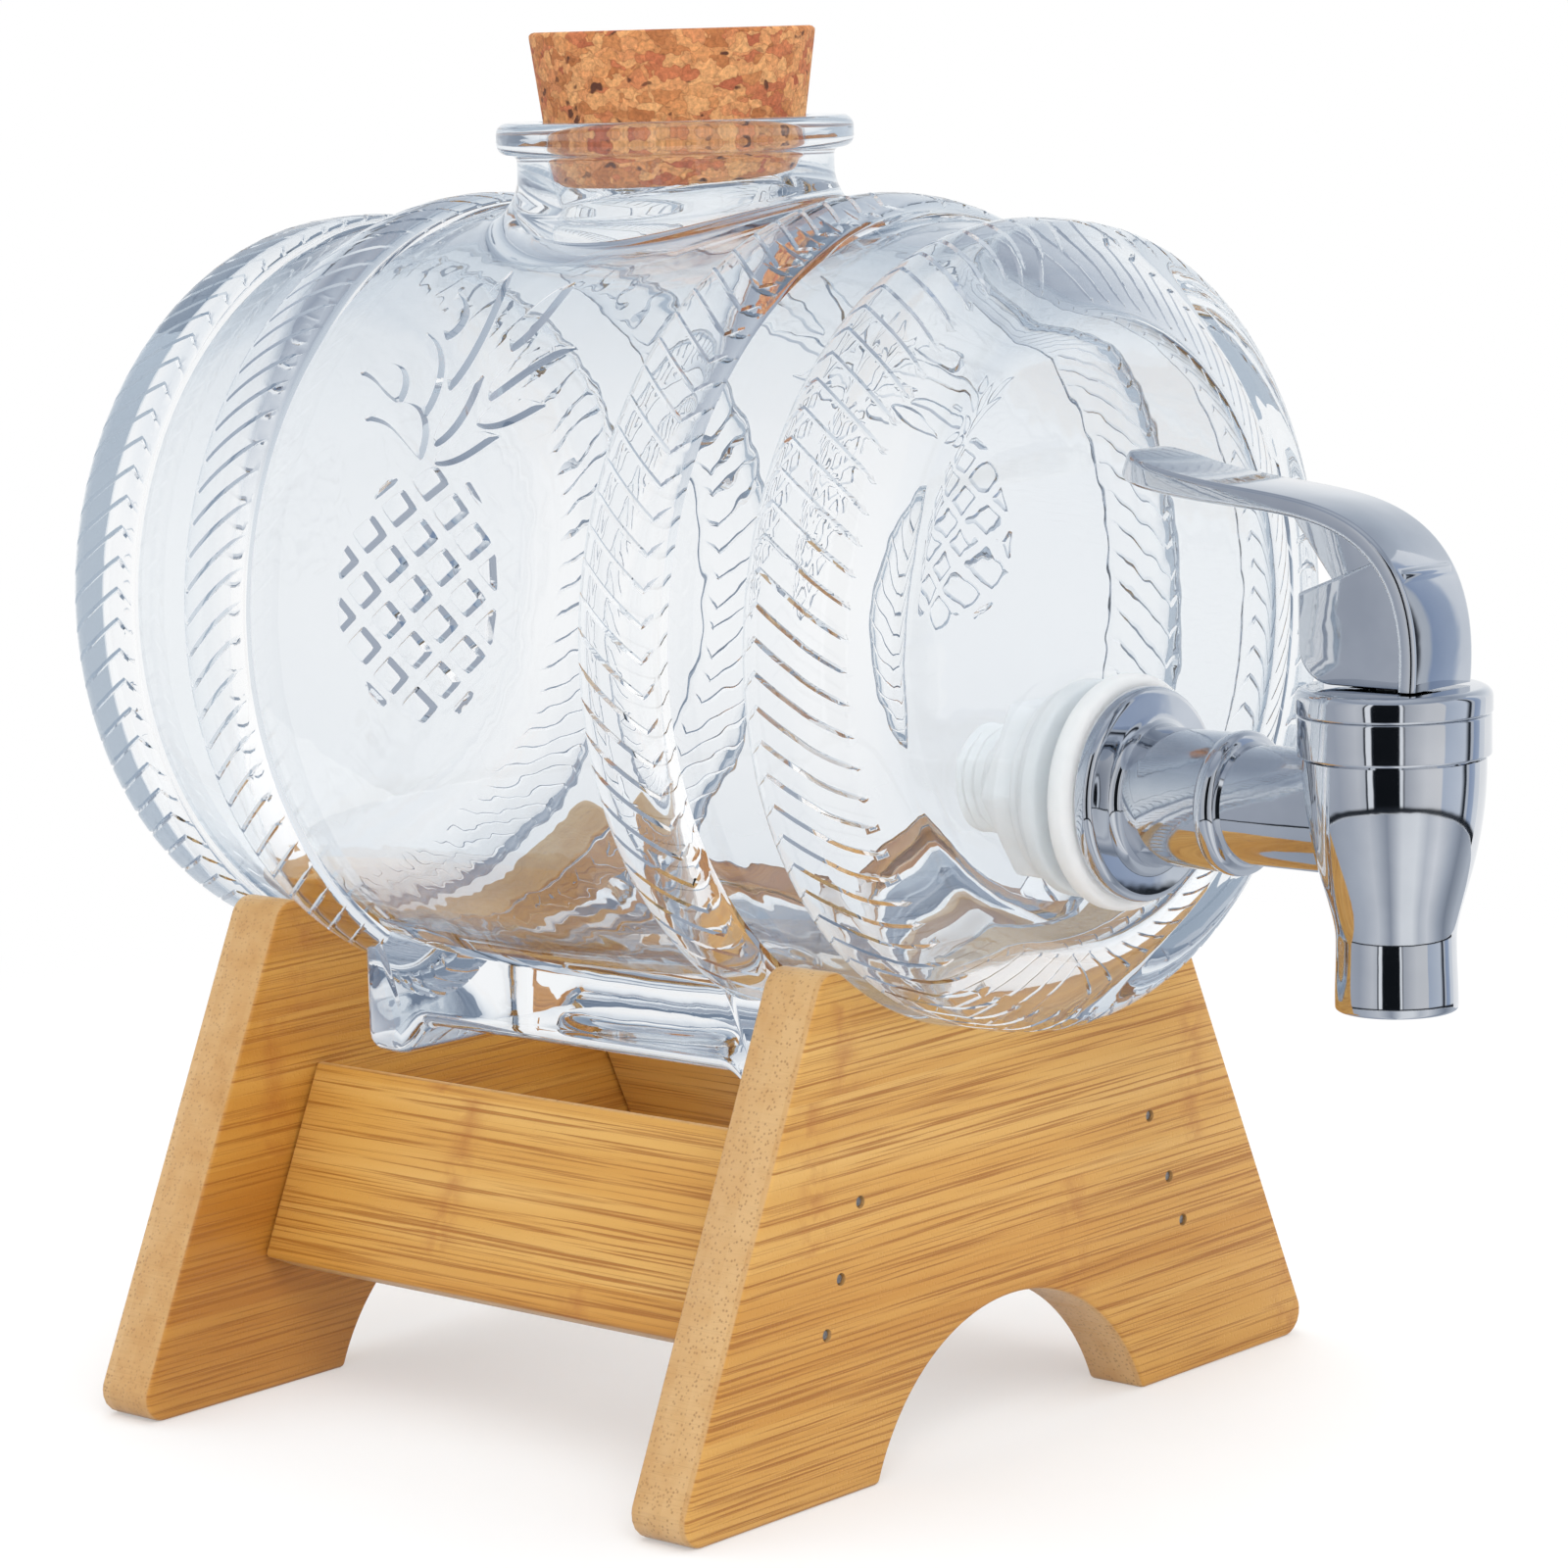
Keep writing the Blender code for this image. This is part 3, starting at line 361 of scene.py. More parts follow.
def new_tree(name, result, **inputs):
    """Start a Geometry Nodes tree with inputs named by their kinds; return it and its inputs."""
    tree = bpy.data.node_groups.new(name, "GeometryNodeTree")
    for kind, names in inputs.items():
        for socket in names:
            tree.interface.new_socket(socket, in_out="INPUT", socket_type=f"NodeSocket{kind}")
    tree.interface.new_socket(result, in_out="OUTPUT", socket_type="NodeSocketGeometry")
    return tree, add(tree, "NodeGroupInput").outputs


def end_tree(tree, geometry, finish):
    """Close a Geometry Nodes tree: make its instances real and give them the finish."""
    plain = add(tree, "GeometryNodeRealizeInstances", [geometry])
    done = add(tree, "GeometryNodeSetMaterial", {"Geometry": plain, "Material": finish})
    add(tree, "NodeGroupOutput", [done])
    return tree


def run_tree(made, tree, values):
    """Run a node tree on an object with these named inputs, and keep the plain mesh."""
    step = made.modifiers.new(tree.name, "NODES")
    step.node_group = tree
    for item in tree.interface.items_tree:
        if item.in_out == "INPUT" and item.name in values:
            step[item.identifier] = values[item.name]
    return freeze(made)


# Settings in the sidebar


def colour_setting(name, description, code):
    """A colour, given as sRGB hex."""
    return FloatVectorProperty(
        name=name, description=description, subtype="COLOR", size=3, default=linear(code)[:3]
    )


def length_setting(name, description, default):
    """A length in metres."""
    return FloatProperty(name=name, description=description, default=default, unit="LENGTH")


# Mesh tools


def from_shape(name, shape):
    """Put a bmesh into a new object, and free the bmesh."""
    bmesh.ops.remove_doubles(shape, verts=shape.verts[:], dist=1e-6)
    bmesh.ops.recalc_face_normals(shape, faces=shape.faces[:])
    mesh = bpy.data.meshes.new(name)
    shape.to_mesh(mesh)
    shape.free()
    made = bpy.data.objects.new(name, mesh)
    bpy.context.scene.collection.objects.link(made)
    return made


def freeze(made):
    """Turn an object with its modifiers into a plain mesh, with its place in the mesh."""
    bpy.context.view_layer.update()
    graph = bpy.context.evaluated_depsgraph_get()
    mesh = bpy.data.meshes.new_from_object(made.evaluated_get(graph), depsgraph=graph)
    made.modifiers.clear()
    mesh.transform(made.matrix_world)
    made.matrix_world = Matrix.Identity(4)
    made.data = mesh
    return made


def carve(target, tool, operation):
    """Cut, join or intersect target with a tool, which is then removed."""
    step = target.modifiers.new(tool.name, "BOOLEAN")
    step.operation = operation
    step.solver = "MANIFOLD"
    step.object = tool
    freeze(target)
    bpy.data.objects.remove(tool)
    return target


def soften(target, width, segments=3, angle=30):
    """Round the edges that are sharper than angle, in degrees."""
    step = target.modifiers.new("rounded_edges", "BEVEL")
    step.width = width
    step.segments = segments
    step.limit_method = "ANGLE"
    step.angle_limit = math.radians(angle)
    return freeze(target)


def dress(made, finish, body, nodes, place=(0, 0, 0), sharp=40):
    """Give a finished mesh its place, shading, finish and body, and hide the nodes it stands for."""
    made.data.transform(Matrix.Translation(place))
    made.data.materials.clear()
    made.data.materials.append(finish)
    made.data.shade_smooth()
    made.data.set_sharp_from_angle(angle=math.radians(sharp))
    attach(made, body)
    if nodes:
        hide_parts(*nodes)
    return made


def turned(outline, facets, ring=False):
    """Turn an outline of (radius, height) points about Z. A ring's outline closes on itself."""
    shape = bmesh.new()
    points = [shape.verts.new((radius, 0, height)) for radius, height in outline]
    pairs = list(zip(points, points[1:]))
    if ring:
        pairs.append((points[-1], points[0]))
    edges = [shape.edges.new(pair) for pair in pairs]
    bmesh.ops.spin(
        shape,
        geom=points + edges,
        cent=(0, 0, 0),
        axis=(0, 0, 1),
        angle=math.tau,
        steps=facets,
        use_merge=True,
    )
    return shape


def rod(radius, low, high, facets):
    """A plain round rod on the Z axis."""
    return turned([(0, low), (radius, low), (radius, high), (0, high)], facets)


def extruded(outline, depth, to_point):
    """Extrude a flat outline by depth. to_point(a, b, c) places outline point a, b at depth c."""
    shape = bmesh.new()
    near = [shape.verts.new(to_point(a, b, -depth / 2)) for a, b in outline]
    far = [shape.verts.new(to_point(a, b, depth / 2)) for a, b in outline]
    shape.faces.new(near)
    shape.faces.new(far[::-1])
    count = len(outline)
    for index in range(count):
        after = (index + 1) % count
        shape.faces.new((near[after], near[index], far[index], far[after]))
    return shape


def loft(shape, sections):
    """Join equal closed sections one after another in a shape, and cap both ends."""
    rings = [[shape.verts.new(point) for point in section] for section in sections]
    for low, high in zip(rings, rings[1:]):
        for index in range(len(low)):
            after = (index + 1) % len(low)
            shape.faces.new((low[index], low[after], high[after], high[index]))
    shape.faces.new(rings[0][::-1])
    shape.faces.new(rings[-1])
    return shape


def side_plane(a, b, c):
    """Outline in the YZ plane, depth along X."""
    return (c, a, b)


def front_plane(a, b, c):
    """Outline in the XZ plane, depth along Y."""
    return (a, c, b)


def floor_plane(a, b, c):
    """Outline in the XY plane, depth along Z."""
    return (a, b, c)


def along_y(shape):
    """Turn a shape about Z so that its height runs along +Y."""
    bmesh.ops.transform(shape, matrix=Matrix.Rotation(-math.pi / 2, 4, "X"), verts=shape.verts[:])
    return shape


def moved(shape, place):
    """Move a shape."""
    bmesh.ops.translate(shape, vec=place, verts=shape.verts[:])
    return shape


def block(half_x, half_y, low, high):
    """A plain block centred on the Z axis."""
    corners = [(-half_x, -half_y), (half_x, -half_y), (half_x, half_y), (-half_x, half_y)]
    return moved(extruded(corners, high - low, floor_plane), (0, 0, (low + high) / 2))


def arc(centre, radius, start, end, steps):
    """Points on an arc of a circle, both ends included."""
    angles = [start + (end - start) * index / steps for index in range(steps + 1)]
    return [
        (centre[0] + radius * math.cos(angle), centre[1] + radius * math.sin(angle))
        for angle in angles
    ]


def rounded_rim(radius, low, high, rounding, steps):
    """Points up the rim of a disc whose two edges are rounded."""
    inner = radius - rounding
    points = arc((inner, low + rounding), rounding, -math.pi / 2, 0, steps)
    return points + arc((inner, high - rounding), rounding, 0, math.pi / 2, steps)


def bezier(start, start_pull, end_pull, end, steps):
    """Points on a cubic curve, both ends included."""
    points = []
    for index in range(steps + 1):
        t = index / steps
        weights = ((1 - t) ** 3, 3 * t * (1 - t) ** 2, 3 * t * t * (1 - t), t**3)
        controls = (start, start_pull, end_pull, end)
        points.append(tuple(sum(w * c[side] for w, c in zip(weights, controls)) for side in (0, 1)))
    return points


def rounded_corner(before, corner, after, radius, steps):
    """Points of a round that replaces the corner between two straight edges."""
    corner = Vector(corner)
    back = (Vector(before) - corner).normalized()
    ahead = (Vector(after) - corner).normalized()
    half_angle = back.angle(ahead) / 2
    centre = corner + (back + ahead).normalized() * (radius / math.sin(half_angle))
    first = corner + back * (radius / math.tan(half_angle)) - centre
    last = corner + ahead * (radius / math.tan(half_angle)) - centre
    points = []
    for index in range(steps + 1):
        spoke = first.lerp(last, index / steps).normalized() * radius
        points.append(tuple(centre + spoke))
    return points


# Glass barrel


def belly_line(along):
    """Outer radius of the glass without its hoops, at a distance from the middle."""
    share = along / barrel_half_length
    return belly_radius - barrel_narrowing * share * share


def hoop_swell(share):
    """Height of a hoop's round back, from 0 at its edge (share 1) to 1 at its crest."""
    return max(0.0, 1.0 - share * share) ** hoop_roundness


def inner_hoop_radius(along):
    """Outer radius of the glass across an inner hoop."""
    share = (along - inner_hoop_place) / (inner_hoop_width / 2)
    return belly_line(along) + inner_hoop_height * hoop_swell(share)


def outer_hoop_radius(along):
    """Outer radius of the glass across an outer hoop, up to its crest."""
    share = (outer_hoop_crest - along) / (outer_hoop_crest - outer_hoop_start)
    return belly_line(along) + outer_hoop_height * hoop_swell(share)


def shoulder_point(angle):
    """Radius and place of the shoulder, from the outer hoop's crest (0) to the flat head."""
    crest = outer_hoop_radius(outer_hoop_crest)
    along = outer_hoop_crest + (barrel_half_length - outer_hoop_crest) * math.sin(angle)
    return crest - (crest - head_flat_radius) * (1 - math.cos(angle)), along


def wall_rows():
    """Half of the outer outline as radius and distance from the middle."""
    rows = [(belly_line(along), along) for along in np.linspace(0, window_half_length, 13)]
    half = inner_hoop_width / 2
    for share in -np.cos(np.linspace(0, math.pi, 21)):
        along = inner_hoop_place + half * share
        rows.append((inner_hoop_radius(along), along))
    for along in np.linspace(inner_hoop_place + half, outer_hoop_start, 5)[1:-1]:
        rows.append((belly_line(along), along))
    run = outer_hoop_crest - outer_hoop_start
    for share in np.cos(np.linspace(0, math.pi / 2, 14)):
        along = outer_hoop_crest - run * share
        rows.append((outer_hoop_radius(along), along))
    rows += [shoulder_point(angle) for angle in np.linspace(0, math.pi / 2, 15)[1:]]
    return rows + [(head_flat_radius - head_inner_step, barrel_half_length)]


def wall_grid(rows, first, last):
    """Faces of the turned wall and its two heads, but for the window that the neck grows from."""
    faces = []
    for row in range(len(rows) - 1):
        for column in range(barrel_columns):
            after = (column + 1) % barrel_columns
            signed = (column + window_columns) % barrel_columns
            if first <= row < last and signed < 2 * window_columns:
                continue
            low, high = row * barrel_columns, (row + 1) * barrel_columns
            faces.append((low + column, high + column, high + after, low + after))
    faces.append(tuple(range(barrel_columns)))
    top = (len(rows) - 1) * barrel_columns
    faces.append(tuple(range(top + barrel_columns - 1, top - 1, -1)))
    return faces


def window_edge(first, last):
    """Point numbers along the rear row, down the right column, back in front, and up."""
    loop = [(last, c) for c in range(-window_columns, window_columns)]
    loop += [(r, window_columns) for r in range(last, first, -1)]
    loop += [(first, c) for c in range(window_columns, -window_columns, -1)]
    loop += [(r, -window_columns) for r in range(first, last)]
    return np.array([r * barrel_columns + c % barrel_columns for r, c in loop])


def neck_rings(edge_turn, edge_along):
    """Rings from the window's edge in to the neck, up its fillet, the neck and round the lip."""
    heading = np.arctan2(edge_along, edge_turn * belly_radius)
    outer = neck_radius + neck_fillet
    foot_turn = np.arcsin(outer * np.cos(heading) / belly_line(outer * np.sin(heading)))
    foot_along = outer * np.sin(heading)
    rings = []
    for share in np.linspace(0, 1, 4)[1:]:
        turn = edge_turn + (foot_turn - edge_turn) * share
        away = edge_along + (foot_along - edge_along) * share
        wall = belly_line(away)
        rings.append((wall * np.sin(turn), away, wall * np.cos(turn)))
    for angle in np.linspace(0, math.pi / 2, 11)[1:]:
        reach = outer - neck_fillet * math.sin(angle)
        x, y = reach * np.cos(heading), reach * np.sin(heading)
        wall = np.sqrt(belly_line(y) ** 2 - x * x)
        rings.append((x, y, wall + neck_fillet * (1 - math.cos(angle))))
    fillet_top = rings[-1][2]
    neck_end = neck_height - under_lip_fillet
    for share in (0.5, 1.0):
        x, y = neck_radius * np.cos(heading), neck_radius * np.sin(heading)
        rings.append((x, y, fillet_top + (neck_end - fillet_top) * share))
    lip_top = neck_height + lip_height
    corner = (neck_radius + under_lip_fillet, neck_end)
    profile = arc(corner, under_lip_fillet, math.pi, math.pi / 2, 4)[1:]
    profile += rounded_rim(lip_radius, neck_height, lip_top, lip_rounding, 6)
    profile += [(cork_top_radius, lip_top), (cork_bottom_radius, lip_top)]
    for reach, height in profile:
        level = np.full(len(heading), height)
        rings.append((reach * np.cos(heading), reach * np.sin(heading), level))
    return rings


def wall_mesh():
    """Closed outer wall of the barrel with its neck, with no relief on it yet."""
    half = wall_rows()
    rows = [(r, -a) for r, a in half[:0:-1]] + half
    turns = np.arange(barrel_columns) * math.tau / barrel_columns
    around = np.tile(np.where(turns > math.pi, turns - math.tau, turns), len(rows))
    radius, along = (np.repeat([row[side] for row in rows], barrel_columns) for side in (0, 1))
    points = np.stack([radius * np.sin(around), along, radius * np.cos(around)], 1)
    inside = [row for row, (_, place) in enumerate(rows) if abs(place) <= window_half_length + 1e-9]
    faces = wall_grid(rows, inside[0], inside[-1])
    before = window_edge(inside[0], inside[-1])
    rings = neck_rings(around[before], along[before])
    start, size = len(points), len(before)
    for _ in rings:
        ids = np.arange(start, start + size)
        for index in range(size):
            after = (index + 1) % size
            faces.append((before[index], before[after], ids[after], ids[index]))
        before, start = ids, start + size
    faces.append(tuple(before))
    points = np.concatenate([points] + [np.stack(ring, 1) for ring in rings])
    shape = bmesh.new()
    corners = [shape.verts.new(point) for point in points.tolist()]
    for face in faces:
        shape.faces.new([corners[index] for index in face])
    loose = [corner for corner in corners if not corner.link_faces]
    bmesh.ops.delete(shape, geom=loose, context="VERTS")
    return from_shape("glass_barrel_fine", shape)


def stroke_blade(name, stations, depth):
    """A thin V-shaped blade that cuts one stroke of the rope across a hoop.

    Each station is (arc place, radius, along, lean of the outline from the barrel's axis).
    """
    middles, outs = [], []
    for place, radius, along, lean in stations:
        turn = place / belly_radius
        radial = Vector((math.sin(turn), 0, math.cos(turn)))
        middles.append(radial * radius + Vector((0, along, 0)))
        outs.append((radial * math.cos(lean) + Vector((0, math.sin(lean), 0))).normalized())
    last = len(middles) - 1
    sections = []
    for index, (middle, out) in enumerate(zip(middles, outs)):
        ahead = middles[min(index + 1, last)] - middles[max(index - 1, 0)]
        across = ahead.cross(out).normalized() * ((depth + stroke_lift) * stroke_width_share)
        share = min(index, last - index) / 2
        full = min(1.0, stroke_end_share + share * (1 - stroke_end_share))
        low = middle - out * (depth * full - stroke_bottom_rise)
        high = middle + out * stroke_lift
        sections.append([low, high + across, high - across])
    return from_shape(name, loft(bmesh.new(), sections))


def outline_lean(radius_at, low, high):
    """Lean of the outline's outward direction along the barrel, from its radii at two places."""
    return -math.atan((radius_at(high) - radius_at(low)) / (high - low))


def inner_stroke():
    """Stations of one stroke on an inner hoop: long, then a short hook back by the panel."""
    start, knee, end = inner_stroke_start, inner_stroke_knee, inner_stroke_hook_places[-1]
    step = 0.0002
    stations = []
    for along in (*np.linspace(start, knee, 11), *inner_stroke_hook_places):
        if along <= knee:
            place = inner_stroke_rise * (along - start) / (knee - start)
        else:
            place = inner_stroke_rise - inner_stroke_hook * (along - knee) / (end - knee)
        lean = outline_lean(inner_hoop_radius, along - step, along + step)
        stations.append((place, inner_hoop_radius(along), along, lean))
    return stations


def outer_stroke():
    """Stations of one stroke on an outer hoop and its shoulder, with a short hook by the panel."""
    start, knee = outer_stroke_hook_places[0], outer_stroke_knee
    step = 0.0001
    stations = []
    for along in (*outer_stroke_hook_places, *np.linspace(knee, outer_hoop_crest, 6)):
        if along < knee:
            place = outer_stroke_hook * (knee - along) / (knee - start)
        else:
            place = (along - knee) * outer_stroke_rate
        lean = outline_lean(outer_hoop_radius, along - step, min(along + step, outer_hoop_crest))
        stations.append((place, outer_hoop_radius(along), along, lean))
    run = stations[-1][0]
    crest = outer_hoop_radius(outer_hoop_crest)
    for angle in outer_stroke_shoulder_turns:
        radius, along = shoulder_point(angle)
        depth = barrel_half_length - outer_hoop_crest
        lean = math.atan2((crest - head_flat_radius) * math.sin(angle), depth * math.cos(angle))
        arc_run = math.hypot(along - outer_hoop_crest, crest - radius)
        stations.append((run + arc_run * outer_stroke_rate, radius, along, lean))
    return stations


def strokes_tree():
    """Geometry Nodes that repeat one blade down half a hoop, and mirror it to the other end."""
    tree, given = new_tree(
        "strokes_round_hoop", "Blades",
        Geometry=["Blade"], Int=["Count"], Float=["First", "Step", "Side"], Material=["Glass"],
    )
    spots = add(
        tree, "GeometryNodeMeshLine",
        {"Count": given["Count"], "Start Location": (0, 0, 0), "Offset": (0, 0, 0)},
    )
    index = add(tree, "GeometryNodeInputIndex")
    turn = add(tree, "MULTIPLY_ADD", [index, given["Step"], given["First"]])
    turns = add(tree, "ShaderNodeCombineXYZ", {"Y": turn})
    row = add(
        tree, "GeometryNodeInstanceOnPoints",
        {"Points": spots, "Instance": given["Blade"], "Rotation": turns},
    )
    solid = add(tree, "GeometryNodeRealizeInstances", [row])
    over = add(tree, "ShaderNodeCombineXYZ", [given["Side"], 1.0, 1.0])
    near = add(tree, "GeometryNodeTransform", {"Geometry": solid, "Scale": over})
    far = add(tree, "GeometryNodeTransform", {"Geometry": near, "Scale": (1, -1, 1)})
    both = add(tree, "GeometryNodeJoinGeometry", [far])
    feed(both, [near])
    return end_tree(tree, both, given["Glass"])


def outward_faces(made):
    """Turn every face of a closed mesh outwards."""
    shape = bmesh.new()
    shape.from_mesh(made.data)
    bmesh.ops.recalc_face_normals(shape, faces=shape.faces[:])
    shape.to_mesh(made.data)
    shape.free()
    return made


def cut_rope(glass, settings, finish):
    """Cut the rope's strokes into the four hoops, one mould half after the other."""
    tree = strokes_tree()
    step = math.tau / settings.ridges
    for word, stations in (("inner", inner_stroke()), ("outer", outer_stroke())):
        for side in (1.0, -1.0):
            blade = stroke_blade(f"{word}_stroke", stations, settings.ridge_depth)
            values = {
                "Count": settings.ridges // 2,
                "First": -step * stroke_first_share,
                "Step": step,
                "Side": side,
                "Glass": finish,
            }
            blades = outward_faces(run_tree(blade, tree, values))
            carve(glass, blades, "DIFFERENCE")


def cut_polygon(polygon, normal, limit):
    """Keep the part of a flat polygon where normal . point is at most limit."""
    kept = []
    for start, end in zip(polygon, polygon[1:] + polygon[:1]):
        before, after = normal.dot(start) - limit, normal.dot(end) - limit
        if before <= 0:
            kept.append(start)
        if before * after < 0:
            kept.append(start.lerp(end, before / (before - after)))
    return kept


def middle_and_area(polygon):
    """Centroid and area of a flat polygon."""
    middle, area = Vector((0, 0)), 0.0
    for start, end in zip(polygon, polygon[1:] + polygon[:1]):
        piece = (start.x * end.y - start.y * end.x) / 2
        middle += (start + end) / 3 * piece
        area += piece
    return (middle / area if area else middle), abs(area)


def pad_ring(sides, middle, inset, height):
    """Ring of points of a pad with rounded corners, set in from its straight sides."""
    ring = []
    for index in range(pad_points):
        angle = math.tau * index / pad_points
        ray = Vector((math.cos(angle), math.sin(angle)))
        total = 0.0
        for normal, limit in sides:
            gap = max(limit - normal.dot(middle) - inset, pad_least_gap)
            facing = normal.dot(ray)
            if facing > 0:
                total += (facing / gap) ** pad_squareness
        point = middle + ray * total ** (-1 / pad_squareness)
        ring.append((point.x, point.y, height))
    return ring


def pad_sides(middle):
    """Straight sides of the pad round middle as normal and limit, the egg's side among them."""
    diagonal = math.hypot(tile_width, tile_height)
    reach = tile_width * tile_height / diagonal / 2 - tile_gap / 2
    sides = []
    for a, b in ((1, 1), (1, -1), (-1, 1), (-1, -1)):
        normal = Vector((a * tile_height, b * tile_width)) / diagonal
        sides.append((normal, normal.dot(middle) + reach))
    egg_centre = Vector(egg_middle)
    away = middle - egg_centre
    level = math.hypot(away.x / egg_half_width, away.y / egg_half_height)
    if level > egg_core_share:
        spot = away / level
        normal = Vector((spot.x / egg_half_width**2, spot.y / egg_half_height**2)).normalized()
        sides.append((normal, normal.dot(egg_centre + spot)))
    return sides


def tile_pads(rise):
    """Pads of the pineapple's body, laid flat: a diagonal lattice that an egg cuts off."""
    shape = bmesh.new()
    # A pad's slope from its root to its top, as inset and height
    slope = (
        (-tile_root * 0.6, -tile_root), (0.0, 0.0), (tile_slope * 0.8, rise * 0.86),
        (tile_slope, rise * 0.97), (tile_slope * 1.25, rise),
    )
    square = ((-1, -1), (1, -1), (1, 1), (-1, 1))
    for row, column in ((row, column) for row in range(-4, 5) for column in range(-4, 5)):
        step = (tile_width * (row + column) / 2, tile_height * (row - column) / 2)
        middle = Vector(tile_middle) + Vector(step)
        sides = pad_sides(middle)
        polygon = [middle + Vector(corner) * (tile_width * 2) for corner in square]
        for normal, limit in sides:
            polygon = cut_polygon(polygon, normal, limit)
        centre, area = middle_and_area(polygon)
        if area < pad_least_area:
            continue
        sides = [(n, max(limit, n.dot(centre) + pad_least_reach)) for n, limit in sides]
        loft(shape, [pad_ring(sides, centre, inset, height) for inset, height in slope])
    return shape


def leaf_blade(shape, leaf, rise):
    """One leaf of the crown, laid flat: a blade with sloped sides and pointed ends."""
    base, middle, tip = (Vector(point) / 1000 for point in leaf[:3])
    half_width = leaf[3] / 1000
    pull = middle * 2 - (base + tip) / 2
    points = []
    for t in np.arange(leaf_steps + 1) / leaf_steps:
        points.append(base * (1 - t) ** 2 + pull * 2 * t * (1 - t) + tip * t * t)
    sections = []
    for index, point in enumerate(points):
        share = min(index / leaf_steps, 0.999)
        ahead = points[min(index + 1, leaf_steps)] - points[max(index - 1, 0)]
        across = Vector((-ahead.y, ahead.x)).normalized()
        width = half_width * max(leaf_point_share, math.sin(math.pi * share**0.8)) ** 0.8
        slope = min(tile_slope * 0.7, width * 0.62)
        high = rise * min(1.0, 0.25 + width / leaf_full_width)
        half = [
            (width + tile_root * 0.4, -tile_root), (width, 0.0),
            (width - slope * 0.85, high * 0.9), (width - slope, high),
        ]
        ring = half + [(-reach, height) for reach, height in reversed(half)]
        sections.append([(*(point + across * reach), height) for reach, height in ring])
    loft(shape, sections)


def wrap_tree():
    """Geometry Nodes that lay flat relief on the belly, on both sides of the barrel."""
    tree, given = new_tree(
        "relief_on_belly", "Relief",
        Geometry=["Relief"], Float=["Belly radius", "Narrowing", "Half length"], Material=["Glass"],
    )
    flat = add(tree, "ShaderNodeSeparateXYZ", [add(tree, "GeometryNodeInputPosition")]).outputs
    share = add(tree, "DIVIDE", [flat[0], given["Half length"]])
    share = add(tree, "MULTIPLY", [share, share])
    less = add(tree, "MULTIPLY", [share, given["Narrowing"]])
    wall = add(tree, "SUBTRACT", [given["Belly radius"], less])
    reach = add(tree, "ADD", [wall, flat[2]])
    climb = add(tree, "DIVIDE", [flat[1], given["Belly radius"]])
    turn = add(tree, "SUBTRACT", [math.pi / 2, climb])
    sine = add(tree, "SINE", [turn])
    cosine = add(tree, "COSINE", [turn])
    x = add(tree, "MULTIPLY", [reach, sine])
    z = add(tree, "MULTIPLY", [reach, cosine])
    spot = add(tree, "ShaderNodeCombineXYZ", [x, flat[0], z])
    right = add(tree, "GeometryNodeSetPosition", {"Geometry": given["Relief"], "Position": spot})
    left = add(tree, "GeometryNodeTransform", {"Geometry": right, "Rotation": (0, 0, math.pi)})
    both = add(tree, "GeometryNodeJoinGeometry", [left])
    feed(both, [right])
    return end_tree(tree, both, given["Glass"])


def raise_pineapple(glass, settings, finish):
    """Raise the pineapple on both sides of the belly: its tiles, then its leaves in turn."""
    tree = wrap_tree()
    values = {
        "Belly radius": belly_radius,
        "Narrowing": barrel_narrowing,
        "Half length": barrel_half_length,
        "Glass": finish,
    }
    groups = [tile_pads(settings.relief_rise)]
    for first in range(4):
        shape = bmesh.new()
        for leaf in leaves[first::4]:
            leaf_blade(shape, leaf, settings.relief_rise)
        groups.append(shape)
    for shape in groups:
        relief = run_tree(from_shape("pineapple_relief", shape), tree, values)
        carve(glass, outward_faces(relief), "UNION")


def cavity_outline():
    """Half of the inner outline, from the middle of the belly to the head's centre."""
    end = barrel_half_length - head_wall
    corner_start = end - inner_corner_radius
    points = [(belly_line(along) - glass_wall, along) for along in np.linspace(0, corner_start, 22)]
    wall_radius = belly_line(corner_start) - glass_wall
    centre = (wall_radius - inner_corner_radius, corner_start)
    points += arc(centre, inner_corner_radius, 0, math.pi / 2, 10)[1:]
    for radius in np.linspace(wall_radius - inner_corner_radius, 0, 8)[1:]:
        points.append((radius, end))
    return points


def both_ways(half):
    """Mirror a half outline about height 0, for a shape with two equal ends."""
    return [(radius, -height) for radius, height in half[:0:-1]] + half


def wave_in(cavity):
    """Push the cavity's points in or out a little, as pressed glass is inside."""
    for vertex in cavity.data.vertices:
        point = vertex.co
        share = noise.noise(Vector(point) / wave_length)
        flat = abs(point.y) > barrel_half_length - head_wall - wave_head_band
        outward = Vector((0, math.copysign(1, point.y), 0)) if flat else Vector((point.x, 0, point.z))
        if outward.length > wave_core_radius:
            vertex.co = point + outward.normalized() * (wave_depth * share)


def bore_outline():
    """Hollow of the neck: a rounded mouth, the cork's taper, then straight to the cavity."""
    top = neck_height + lip_height
    taper = (cork_top_radius - cork_bottom_radius) / cork_height
    depth = top - (cork_low.z - barrel_height)
    low_radius = cork_bottom_radius + seat_gap
    mouth_radius = low_radius + taper * depth
    start = belly_radius - glass_wall - bore_start_drop
    middle = (low_radius + bore_flare, belly_radius - glass_wall + bore_flare_rise)
    points = [(0, start), (low_radius + bore_flare, start)]
    points += arc(middle, bore_flare, math.radians(225), math.pi, 4)
    points += [(low_radius, cork_low.z - barrel_height)]
    corner = (mouth_radius + mouth_rounding, top - mouth_rounding)
    points += arc(corner, mouth_rounding, math.pi, math.pi / 2, 5)
    return points + [(mouth_radius + mouth_rounding, top + cut_overrun), (0, top + cut_overrun)]


